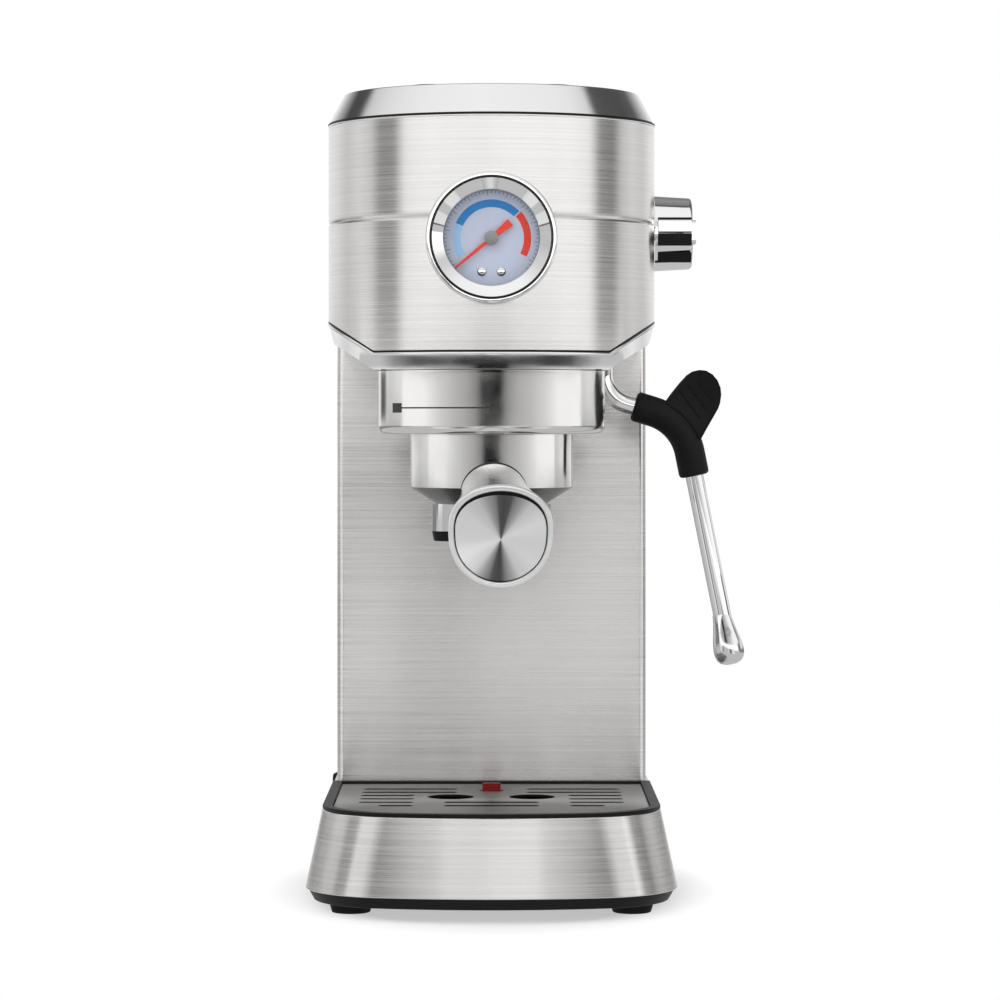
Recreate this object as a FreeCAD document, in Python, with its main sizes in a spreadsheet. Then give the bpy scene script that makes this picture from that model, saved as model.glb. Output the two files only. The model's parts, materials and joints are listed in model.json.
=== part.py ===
"""Compact pump espresso machine: a steel column and half-round head above a drip tray.

Millimetres, +Z up, the front faces -Y. Pieces are drawn about the brew axis and then
all shifted by frame_x and frame_y, which puts the origin on the counter, mid-machine.
"""
import FreeCAD
import Part
import Sketcher

import math
import os
import re

Vector = FreeCAD.Vector
Rotation = FreeCAD.Rotation

# Driving dimensions, one cell each
SIZES = {
    # Shift from the brew axis to the middle of the machine
    "frame_x": -15.3,
    "frame_y": -35.5,
    # Clearances
    "seat_gap": 0.05,
    "running_gap": 0.05,
    "loose_gap": 0.3,
    # Feet and base plate
    "foot_height": 5.0,
    "foot_radius": 9.0,
    "foot_taper": 1.5,
    "foot_x": 55.0,
    "foot_front_y": -40.0,
    "foot_rear_y": 208.0,
    "plate_thickness": 4.5,
    "plate_inset": 1.0,
    "plate_slope": 2.5,
    "base_rear": 227.0,
    # Steel skirt round the drip tray
    "skirt_height": 30.5,
    "skirt_half": 73.0,
    "skirt_front": 77.6,
    "skirt_lean": 6.5,
    "skirt_front_lean": 5.6,
    "skirt_corner": 36.0,
    "skirt_bow": 190.0,
    "skirt_wall": 1.5,
    # Drip tray, grate and float
    "tray_rim": 1.5,
    "tray_rim_width": 4.0,
    "tray_floor": 2.0,
    "tray_depth": 26.0,
    "tray_back_gap": 0.6,
    "grate_thickness": 1.0,
    "grate_drop": 1.1,
    "grate_ledge": 2.0,
    "slot_width": 4.5,
    "slot_pitch": 13.0,
    "slot_first_y": 36.0,
    "slot_outer": 53.0,
    "slot_long_inner": 14.0,
    "slot_short_inner": 31.0,
    "slot_last_outer": 45.0,
    "slot_middle_half": 19.0,
    "finger_radius": 9.3,
    "finger_x": 16.4,
    "finger_y": 5.0,
    "float_width": 7.5,
    "float_depth": 3.0,
    "float_y": 29.5,
    "float_show": 3.2,
    "float_foot": 18.0,
    "float_foot_height": 7.0,
    "float_clear": 1.2,
    # Column
    "column_half": 64.8,
    "column_face": 62.0,
    "column_wall": 1.5,
    "column_corner": 3.0,
    "column_height": 209.8,
    "body_rear": 150.0,
    "back_thickness": 3.0,
    "vent_top": 30.0,
    "vent_pitch": 9.0,
    "vent_half": 30.0,
    "vent_width": 4.0,
    # Head
    "head_radius": 65.5,
    "head_height": 91.7,
    "head_wall": 1.5,
    "head_flat_half": 46.0,
    "head_chamfer": 12.7,
    "bead_height": 51.0,
    "bead_width": 1.6,
    "bead_depth": 0.5,
    "wedge_margin": 2.0,
    "collar_thickness": 6.8,
    "collar_lean": 3.1,
    "collar_side_drop": 9.4,
    "cover_height": 12.0,
    "cover_inset": 6.4,
    "cover_wall": 2.5,
    "warmer_half": 46.0,
    "warmer_front": 0.0,
    "warmer_rear": 132.0,
    "warmer_thickness": 1.2,
    "warmer_corner": 10.0,
    # Brew group and its trim ring
    "ring_radius": 45.7,
    "ring_height": 25.5,
    "ring_edge": 3.5,
    "group_radius": 42.0,
    "group_lift": 0.5,
    "flange_thickness": 3.5,
    "flange_bore": 33.3,
    "bayonet_bore": 38.0,
    "bayonet_height": 12.0,
    "notch_angle": -55.0,
    "notch_half": 20.0,
    "spigot_radius": 20.0,
    "water_bore": 3.0,
    "gasket_outer": 31.0,
    "gasket_inner": 26.0,
    "gasket_height": 5.5,
    "gasket_recess": 3.5,
    "screen_radius": 24.5,
    "screen_wall": 1.0,
    "screen_drop": 7.5,
    "screw_radius": 2.2,
    "screw_head_radius": 4.5,
    "screw_head_height": 2.0,
    "screw_length": 12.0,
    "block_half": 36.0,
    "block_front": 36.0,
    "block_rear": 44.0,
    "block_height": 22.0,
    "block_edge": 5.0,
    # Filter holder
    "holder_radius": 32.8,
    "holder_bore": 29.4,
    "holder_lift": 8.5,
    "holder_depth": 33.8,
    "holder_cone": 6.7,
    "holder_bottom_radius": 22.0,
    "holder_floor": 6.0,
    "outlet_radius": 5.0,
    "lug_reach": 37.5,
    "lug_height": 4.7,
    "lug_half": 17.0,
    "basket_wall": 0.8,
    "basket_clear": 2.8,
    "basket_rim": 1.2,
    "basket_rim_radius": 32.0,
    "spout_x": 18.0,
    "spout_radius": 6.0,
    "spout_bore": 3.8,
    "spout_drop": 11.0,
    "spout_bar": 8.0,
    "tip_length": 4.0,
    "tip_radius": 5.2,
    "handle_slope": 6.5,
    "handle_yaw": 1.25,
    "handle_rise": 2.3,
    "ferrule_radius": 9.5,
    "ferrule_start": 30.5,
    "ferrule_end": 44.0,
    "handle_root": 13.2,
    "handle_edge": 2.0,
    "handle_sweep": 420.0,
    "handle_end": 18.9,
    "handle_length": 108.0,
    "cap_thickness": 3.0,
    "cap_recess": 1.2,
    "cap_disc": 16.2,
    "cap_edge": 1.0,
    # Pressure gauge
    "gauge_rise": 43.7,
    "gauge_radius": 25.4,
    "gauge_line": 23.3,
    "gauge_proud": 3.5,
    "trim_skirt": 8.0,
    "trim_edge": 1.0,
    "trim_groove": 0.4,
    "trim_lip": 0.6,
    "dial_window": 18.7,
    "case_radius": 22.4,
    "case_wall": 1.2,
    "case_depth": 26.0,
    "dial_depth": 5.5,
    "dial_thickness": 1.0,
    "lens_thickness": 1.4,
    "needle_hub": 2.6,
    "needle_pin": 0.8,
    "needle_reach": 18.0,
    "needle_tail": 9.5,
    "needle_width": 1.6,
    "needle_thickness": 0.6,
    "needle_angle": 219.6,
    "needle_lift": 1.2,
    "movement_radius": 11.0,
    "gauge_pipe_bend": 8.0,
    # Steam knob, valve and wand
    "knob_y": 26.0,
    "knob_rise": 49.7,
    "knob_radius": 15.4,
    "knob_draft": 0.8,
    "knob_gap": 1.0,
    "knob_depth": 15.4,
    "knob_bar": 9.5,
    "knob_bar_proud": 1.1,
    "knob_face": 4.0,
    "knob_edge": 1.5,
    "shaft_radius": 3.0,
    "shaft_hole": 6.0,
    "valve_half": 8.0,
    "valve_start": 30.0,
    "valve_end": 62.0,
    "wand_x": 46.0,
    "wand_y": 26.0,
    "wand_radius": 3.7,
    "wand_entry": 2.7,
    "wand_elbow_drop": 17.0,
    "wand_corner_x": 78.7,
    "wand_corner_drop": 10.0,
    "wand_lean": 11.3,
    "wand_fall": 100.3,
    "wand_bend": 22.0,
    "wand_elbow_bend": 8.0,
    "wand_tip_length": 20.0,
    "wand_tip_radius": 5.6,
    "wand_tip_neck": 4.1,
    "tip_band": 7.0,
    "tip_round": 4.0,
    "tip_bore": 6.0,
    "grip_radius": 6.15,
    "grip_start": 21.0,
    "grip_end": 22.6,
    "paddle_reach": 13.8,
    "paddle_angle": 61.7,
    "paddle_end": 8.6,
    "paddle_root": 8.6,
    "paddle_thickness": 8.0,
    "paddle_groove": 0.8,
    "groove_pitch": 4.0,
    "socket_radius": 6.0,
    "socket_drop": 4.0,
    "socket_cap": 4.0,
    "steam_pipe_radius": 2.5,
    # Buttons on the top
    "button_radius": 7.8,
    "button_pitch": 24.0,
    "button_y": -32.0,
    "button_proud": 1.5,
    "button_flange": 1.2,
    "button_flange_height": 2.0,
    "button_stem": 2.0,
    "button_travel": 1.5,
    "button_edge": 1.0,
    "board_width": 20.0,
    "board_thickness": 1.6,
    "board_half": 38.0,
    "board_depth": 11.0,
    "post_radius": 2.2,
    # Pump and plumbing
    "pump_y": 106.0,
    "pump_radius": 17.0,
    "pump_height": 62.0,
    "pump_neck": 6.0,
    "mount_radius": 20.0,
    "mount_height": 11.0,
    "mount_recess": 5.0,
    "hose_radius": 4.0,
    "hose_z": 34.0,
    "pipe_radius": 2.5,
    "pipe_bend": 14.0,
    "pipe_rise": 16.0,
    "control_half": 30.0,
    "control_low": 95.0,
    "control_high": 185.0,
    "control_stand": 8.0,
    # Water tank
    "dock_half": 66.5,
    "tank_half": 61.0,
    "tank_gap": 0.5,
    "tank_wall": 2.0,
    "tank_step": 11.0,
    "tank_corner": 12.0,
    "lid_thickness": 2.5,
    "lid_barrel": 30.0,
    "ear_width": 9.0,
    "bridge_height": 4.0,
    "pin_radius": 2.0,
    "pin_boss": 4.5,
    "valve_radius": 8.0,
    "valve_depth": 9.0,
    "valve_y": 190.0,
    "gland_radius": 8.0,
    "gland_length": 6.0,
    "gland_y": 200.0,
}

# Levels and faces that follow from the driving dimensions
PLATE_TOP = "(foot_height + plate_thickness)"
SKIRT_TOP = f"({PLATE_TOP} + skirt_height)"
RIM_TOP = f"({SKIRT_TOP} + tray_rim)"
GRATE_TOP = f"({RIM_TOP} - grate_drop)"
HEAD_BOTTOM = f"({PLATE_TOP} + column_height)"
HEAD_TOP = f"({HEAD_BOTTOM} + head_height)"
TANK_TOP = f"({HEAD_TOP} - tank_step)"
COVER_TOP = f"({HEAD_TOP} + cover_height)"
RING_TOP = f"({HEAD_BOTTOM} - collar_thickness)"
RING_BOTTOM = f"({RING_TOP} - ring_height)"
GROUP_BOTTOM = f"({RING_BOTTOM} + group_lift)"
BAYONET_FLOOR = f"({GROUP_BOTTOM} + flange_thickness)"
HOLDER_TOP = f"({BAYONET_FLOOR} + holder_lift)"
HOLDER_SHOULDER = f"({HOLDER_TOP} - holder_depth)"
HOLDER_BOTTOM = f"({HOLDER_SHOULDER} - holder_cone)"
SPOUT_BOTTOM = f"({HOLDER_BOTTOM} - spout_drop)"
HANDLE_Z = f"({HOLDER_SHOULDER} + handle_rise)"
GASKET_SEAT = f"({BAYONET_FLOOR} + bayonet_height + gasket_recess)"
BLOCK_TOP = f"({HEAD_BOTTOM} + block_height)"
GAUGE_FACE = "(-head_radius)"

# Heights that follow the head or the group
LEVELS = {
    "holder_top": HOLDER_TOP,
    "gauge_z": f"{HEAD_BOTTOM} + gauge_rise",
    "knob_z": f"{HEAD_BOTTOM} + knob_rise",
    "wand_top": f"{HEAD_BOTTOM} + wand_entry",
    "wand_elbow_z": f"{HEAD_BOTTOM} - wand_elbow_drop",
    "wand_corner_z": f"{HEAD_BOTTOM} - wand_elbow_drop - wand_corner_drop",
    "wand_tip_z": f"{HEAD_BOTTOM} - wand_elbow_drop - wand_corner_drop - wand_fall",
    "socket_bottom": f"{HEAD_BOTTOM} - socket_drop",
}

doc = FreeCAD.newDocument("espresso_machine")
sheet = doc.addObject("Spreadsheet::Sheet", "sizes")
rows = list(SIZES.items()) + [(alias, f"={formula}") for alias, formula in LEVELS.items()]
for row, (alias, content) in enumerate(rows, start=1):
    sheet.set(f"A{row}", alias)
    sheet.set(f"B{row}", f"{content}")
    sheet.setAlias(f"B{row}", alias)
doc.recompute()
aliases = {alias for alias, content in rows}

nodes = {}


def cells(text):
    """Write a formula over size names as one over the sheet's cells."""
    return re.sub(r"[a-z_]+", lambda word: f"sizes.{word[0]}" if word[0] in aliases else word[0], text)


def number(text):
    """Give a formula's present value."""
    return float(sheet.evalExpression(cells(text)))


def bind(piece, **formulas):
    """Bind properties of a piece to formulas; a double underscore stands for a dot."""
    for name, text in formulas.items():
        piece.setExpression(name.replace("__", "."), cells(text))


def put(piece, x="0", y="0", z="0", turn=None):
    """Turn a piece and bind its place."""
    piece.Placement = FreeCAD.Placement(Vector(), turn or Rotation())
    bind(piece, Placement__Base__x=x, Placement__Base__y=y, Placement__Base__z=z)
    return piece


def node(label, piece, x="0", y="0", z="0", turn=None):
    """Name a finished sub-part and place it in the machine's frame."""
    piece.Label = label
    nodes[label] = piece
    return put(piece, f"frame_x + ({x})", f"frame_y + ({y})", z, turn)


def new_body(label):
    """Start a sub-part's body."""
    return doc.addObject("PartDesign::Body", f"{label}_body")


def sketch_on(body, role, offset="0"):
    """Start a sketch on one of the body's own planes, moved along the plane's normal."""
    sketch = body.newObject("Sketcher::SketchObject", f"{body.Name}_sketch")
    plane = next(item for item in body.Origin.OriginFeatures if item.Role == role)
    sketch.AttachmentSupport = (plane, "")
    sketch.MapMode = "FlatFace"
    bind(sketch, AttachmentOffset__Base__z=offset)
    return sketch


def hold(sketch, kind, edge, point, text):
    """Bind a point's distance from the sketch's origin."""
    rule = Sketcher.Constraint(kind, -1, 1, edge, point, number(text))
    sketch.setExpression(f"Constraints[{sketch.addConstraint(rule)}]", cells(text))


def hold_radius(sketch, edge, text):
    """Bind an arc's or circle's radius."""
    rule = Sketcher.Constraint("Radius", edge, number(text))
    sketch.setExpression(f"Constraints[{sketch.addConstraint(rule)}]", cells(text))


def arc_between(begin, end, radius, side):
    """Give the arc that bulges to the right of the way from begin to end, or left if side is -1."""
    way = end - begin
    rise = radius - math.sqrt(max(radius**2 - (way.Length / 2) ** 2, 0))
    out = Vector(way.y, -way.x, 0).normalize() * side * rise
    return Part.Arc(begin, (begin + end) / 2 + out, end)


def outline(sketch, corners):
    """Draw a closed outline, anticlockwise: a corner is (x, y), with a radius where an arc leaves it.

    A negative radius makes the arc hollow.
    """
    first = sketch.GeometryCount
    places = [Vector(number(corner[0]), number(corner[1]), 0) for corner in corners]
    starts = []
    for index, corner in enumerate(corners):
        begin = places[index]
        end = places[(index + 1) % len(places)]
        edge = Part.LineSegment(begin, end)
        if len(corner) == 3:
            bend = number(corner[2])
            edge = arc_between(begin, end, abs(bend), math.copysign(1, bend))
        sketch.addGeometry(edge, False)
        starts.append(1 if sketch.getPoint(first + index, 1).isEqual(begin, 1e-6) else 2)
    for index, corner in enumerate(corners):
        edge = first + index
        before = (index - 1) % len(corners)
        joint = Sketcher.Constraint("Coincident", first + before, 3 - starts[before], edge, starts[index])
        sketch.addConstraint(joint)
        hold(sketch, "DistanceX", edge, starts[index], corner[0])
        hold(sketch, "DistanceY", edge, starts[index], corner[1])
        if len(corner) == 3:
            hold_radius(sketch, edge, f"abs({corner[2]})")
    return sketch


def circle(sketch, x, y, radius):
    """Draw a circle."""
    centre = Vector(number(x), number(y), 0)
    edge = sketch.addGeometry(Part.Circle(centre, Vector(0, 0, 1), number(radius)), False)
    hold(sketch, "DistanceX", edge, 3, x)
    hold(sketch, "DistanceY", edge, 3, y)
    hold_radius(sketch, edge, radius)
    return sketch


def pad(body, sketch, length):
    """Pad a sketch along its normal."""
    feature = body.newObject("PartDesign::Pad", f"{body.Name}_pad")
    feature.Profile = sketch
    bind(feature, Length=length)
    return feature


def pocket(body, sketch, length=None, forward=False):
    """Cut a sketch away, against its normal or forward along it, or both ways through everything."""
    doc.recompute()
    before = body.Shape.Volume
    feature = body.newObject("PartDesign::Pocket", f"{body.Name}_pocket")
    feature.Profile = sketch
    if length is None:
        feature.Type = "ThroughAll"
        feature.SideType = "Symmetric"
    else:
        feature.Reversed = forward
        bind(feature, Length=length)
    doc.recompute()
    if not body.Shape.Volume < before:
        raise RuntimeError(f"{body.Name}: a pocket cut nothing")
    return feature


def lathe(label, corners):
    """Turn a closed (radius, height) outline about the body's Z axis."""
    body = new_body(label)
    sketch = outline(sketch_on(body, "XZ_Plane"), corners)
    feature = body.newObject("PartDesign::Revolution", f"{body.Name}_turn")
    feature.Profile = sketch
    feature.ReferenceAxis = (sketch, ["V_Axis"])
    feature.Angle = 360
    return body


def prism(label, corners, bottom, height):
    """Raise an XY outline from a level."""
    body = new_body(label)
    pad(body, outline(sketch_on(body, "XY_Plane", bottom), corners), height)
    return body


def loft(body, kind, sketches):
    """Loft straight through sketches, adding or cutting."""
    feature = body.newObject(f"PartDesign::{kind}Loft", f"{body.Name}_loft")
    feature.Profile = sketches[0]
    feature.Sections = sketches[1:]
    feature.Ruled = True
    return feature


def box(x, y, z, width, depth, height):
    """Make a block from its lowest corner."""
    piece = doc.addObject("Part::Box", "block")
    bind(piece, Length=width, Width=depth, Height=height)
    return put(piece, x, y, z)


def rod(x, y, z, radius, length, turn=None):
    """Make a cylinder that starts at a point and runs along its own Z axis."""
    piece = doc.addObject("Part::Cylinder", "rod")
    bind(piece, Radius=radius, Height=length)
    return put(piece, x, y, z, turn)


def join(*pieces):
    """Fuse pieces; pieces that stay apart are a group of solids."""
    fused = doc.addObject("Part::MultiFuse", "join")
    fused.Shapes = list(pieces)
    return fused


def cut(base, *tools):
    """Cut tools from a base."""
    result = doc.addObject("Part::Cut", "cut")
    result.Base = base
    result.Tool = tools[0] if len(tools) == 1 else join(*tools)
    return result


FORWARD = Rotation(Vector(1, 0, 0), 90)
BACKWARD = Rotation(Vector(1, 0, 0), -90)
RIGHTWARD = Rotation(Vector(0, 1, 0), 90)
LEFTWARD = Rotation(Vector(0, 1, 0), -90)


def base_plan(half, front, inset, rear):
    """Give the base's plan: straight sides, round corners and a bowed front, drawn in by an inset."""
    side = f"({half} - {inset})"
    corner = f"(skirt_corner - {inset})"
    bow = f"(skirt_bow - {inset})"
    inner = f"({half} - skirt_corner)"
    reach = "(skirt_bow - skirt_corner)"
    drop = f"sqrt({reach}^2 - {inner}^2)"
    corner_y = f"(skirt_bow - {front} - {drop})"
    touch_x = f"({inner} * {bow} / {reach})"
    touch_y = f"(skirt_bow - {front} - {drop} * {bow} / {reach})"
    return [
        (side, corner_y),
        (side, rear),
        (f"-{side}", rear),
        (f"-{side}", corner_y, corner),
        (f"-{touch_x}", touch_y, bow),
        (touch_x, touch_y, corner),
    ]


def half_round(radius, rear):
    """Give the head's plan: a half circle about the brew axis with straight sides to the rear."""
    return [
        (radius, "0"),
        (radius, rear),
        (f"-{radius}", rear),
        (f"-{radius}", "0", radius),
        ("0", f"-{radius}", radius),
    ]


def oblong(left, right, front, rear, corner):
    """Give a rectangle with round corners."""
    return [
        (f"{left} + {corner}", front),
        (f"{right} - {corner}", front, corner),
        (right, f"{front} + {corner}"),
        (right, f"{rear} - {corner}", corner),
        (f"{right} - {corner}", rear),
        (f"{left} + {corner}", rear, corner),
        (left, f"{rear} - {corner}"),
        (left, f"{front} + {corner}", corner),
    ]


def slot(left, right, y, width):
    """Give a slot along X with round ends, each of two quarter circles."""
    half = f"({width} / 2)"
    return [
        (f"{left} + {half}", f"{y} - {half}"),
        (f"{right} - {half}", f"{y} - {half}", half),
        (right, y, half),
        (f"{right} - {half}", f"{y} + {half}"),
        (f"{left} + {half}", f"{y} + {half}", half),
        (left, y, half),
    ]


TOP_HALF = "(skirt_half - skirt_lean)"
TOP_FRONT = "(skirt_front - skirt_front_lean)"
TRAY_REAR = "(column_face - tray_back_gap)"
TRAY_FLOOR = f"({SKIRT_TOP} - tray_depth)"


def build_base():
    """Plate, feet, skirt and the moulding under the tank."""
    plate = new_body("base_plate")
    lower = sketch_on(plate, "XY_Plane", "foot_height")
    outline(lower, base_plan("skirt_half", "skirt_front", "(plate_inset + plate_slope)", "base_rear"))
    upper = sketch_on(plate, "XY_Plane", PLATE_TOP)
    outline(upper, base_plan("skirt_half", "skirt_front", "plate_inset", "base_rear"))
    loft(plate, "Additive", [lower, upper])
    node("base_plate", plate)

    feet = []
    for y in ("foot_front_y", "foot_rear_y"):
        for x in ("foot_x", "-foot_x"):
            foot = doc.addObject("Part::Cone", "foot")
            bind(foot, Radius1="foot_radius - foot_taper", Radius2="foot_radius", Height="foot_height")
            feet.append(put(foot, x, y))
    node("rubber_feet", join(*feet))

    skirt = new_body("base_skirt")
    beyond = "(body_rear + skirt_wall)"
    for kind, inset, rear in (("Additive", "0", "body_rear"), ("Subtractive", "skirt_wall", beyond)):
        lower = sketch_on(skirt, "XY_Plane", PLATE_TOP)
        outline(lower, base_plan("skirt_half", "skirt_front", inset, rear))
        upper = sketch_on(skirt, "XY_Plane", SKIRT_TOP)
        outline(upper, base_plan(TOP_HALF, TOP_FRONT, inset, rear))
        loft(skirt, kind, [lower, upper])
    node("base_skirt", skirt)

    depth = "base_rear - body_rear"
    block = box("-dock_half", "body_rear", PLATE_TOP, "2 * dock_half", depth, "skirt_height")
    socket_depth = "(valve_depth + loose_gap)"
    socket = rod("0", "valve_y", f"{SKIRT_TOP} - {socket_depth}", "valve_radius + loose_gap", socket_depth)
    node("tank_dock", cut(block, socket))

    gland = lathe("cord_gland", [
        ("gland_radius / 2", "0"),
        ("gland_radius", "0"),
        ("gland_radius", "gland_length / 3"),
        ("gland_radius * 3 / 4", "gland_length"),
        ("gland_radius / 2", "gland_length"),
    ])
    node("cord_gland", gland, "-dock_half", "gland_y", f"{PLATE_TOP} + skirt_height / 2", LEFTWARD)


def build_tray():
    """Lift-out drip tray, its slotted grate and the red level float."""
    wall_inset = "(skirt_wall + loose_gap)"
    well_inset = "(tray_rim_width + grate_ledge)"
    tray = prism("drip_tray", base_plan(TOP_HALF, TOP_FRONT, wall_inset, TRAY_REAR), TRAY_FLOOR, "tray_depth")
    rim = sketch_on(tray, "XY_Plane", SKIRT_TOP)
    pad(tray, outline(rim, base_plan(TOP_HALF, TOP_FRONT, "0", TRAY_REAR)), "tray_rim")
    grate_seat = f"({GRATE_TOP} - grate_thickness)"
    well = sketch_on(tray, "XY_Plane", f"{TRAY_FLOOR} + tray_floor")
    outline(well, base_plan(TOP_HALF, TOP_FRONT, well_inset, f"({TRAY_REAR} - {well_inset})"))
    pocket(tray, well, f"{RIM_TOP} - {TRAY_FLOOR} - tray_floor", forward=True)
    seat = sketch_on(tray, "XY_Plane", grate_seat)
    outline(seat, base_plan(TOP_HALF, TOP_FRONT, "tray_rim_width", f"({TRAY_REAR} - tray_rim_width)"))
    pocket(tray, seat, "grate_thickness + grate_drop", forward=True)
    node("drip_tray", tray)

    edge = "(tray_rim_width + loose_gap)"
    plan = base_plan(TOP_HALF, TOP_FRONT, edge, f"({TRAY_REAR} - {edge})")
    grate = prism("drip_grate", plan, grate_seat, "grate_thickness")
    spans = [("slot_long_inner", "slot_outer")] * 2
    spans += [("slot_short_inner", "slot_outer")] * 3
    spans += [("slot_short_inner", "slot_last_outer")]
    middle_rows = (4, 5)
    for row, (inner, outer) in enumerate(spans):
        y = f"(slot_first_y - {row} * slot_pitch)"
        holes = sketch_on(grate, "XY_Plane", GRATE_TOP)
        outline(holes, slot(inner, outer, y, "slot_width"))
        outline(holes, slot(f"-{outer}", f"-{inner}", y, "slot_width"))
        if row in middle_rows:
            outline(holes, slot("-slot_middle_half", "slot_middle_half", y, "slot_width"))
        pocket(grate, holes, "grate_thickness")
    holes = sketch_on(grate, "XY_Plane", GRATE_TOP)
    for x in ("finger_x", "-finger_x"):
        circle(holes, x, "finger_y", "finger_radius")
    reach = "(float_width / 2 + float_clear)"
    depth = "(float_depth + 2 * float_clear)"
    outline(holes, slot(f"-{reach}", reach, "float_y", depth))
    pocket(grate, holes, "grate_thickness")
    node("drip_grate", grate)

    floor = f"({TRAY_FLOOR} + tray_floor)"
    start = "float_y - float_foot / 2"
    foot = box("-float_foot / 2", start, floor, "float_foot", "float_foot", "float_foot_height")
    stem_height = f"{GRATE_TOP} + float_show - {floor}"
    start = "float_y - float_depth / 2"
    stem = box("-float_width / 2", start, floor, "float_width", "float_depth", stem_height)
    node("tray_float", join(foot, stem))


HEAD_SLOPE = "(head_chamfer / (head_radius - head_flat_half))"
COLUMN_RISE = f"({HEAD_SLOPE} * (head_radius - head_wall - head_flat_half) - loose_gap)"


def build_column():
    """Steel front and sides in one folded sheet, and the plastic back with its vents."""
    inner = "(column_half - column_wall)"
    sheet_plan = [
        ("column_half", "column_face + column_corner"),
        ("column_half", "body_rear"),
        (inner, "body_rear"),
        (inner, "column_face + column_wall"),
        (f"-{inner}", "column_face + column_wall"),
        (f"-{inner}", "body_rear"),
        ("-column_half", "body_rear"),
        ("-column_half", "column_face + column_corner", "column_corner"),
        ("column_corner - column_half", "column_face"),
        ("column_half - column_corner", "column_face", "column_corner"),
    ]
    node("column_panel", prism("column_panel", sheet_plan, PLATE_TOP, f"column_height + {COLUMN_RISE}"))

    rear = "(body_rear + back_thickness)"
    plate_plan = oblong("-column_half", "column_half", "body_rear", rear, "back_thickness / 3")
    back = prism("back_panel", plate_plan, SKIRT_TOP, f"{HEAD_TOP} - {SKIRT_TOP}")
    for row in range(VENT_ROWS):
        level = f"({HEAD_TOP} - vent_top - {row} * vent_pitch)"
        vents = sketch_on(back, "XZ_Plane")
        outline(vents, slot("-vent_half", "vent_half", level, "vent_width"))
        pocket(back, vents)
    node("back_panel", back)


VENT_ROWS = 6


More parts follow.
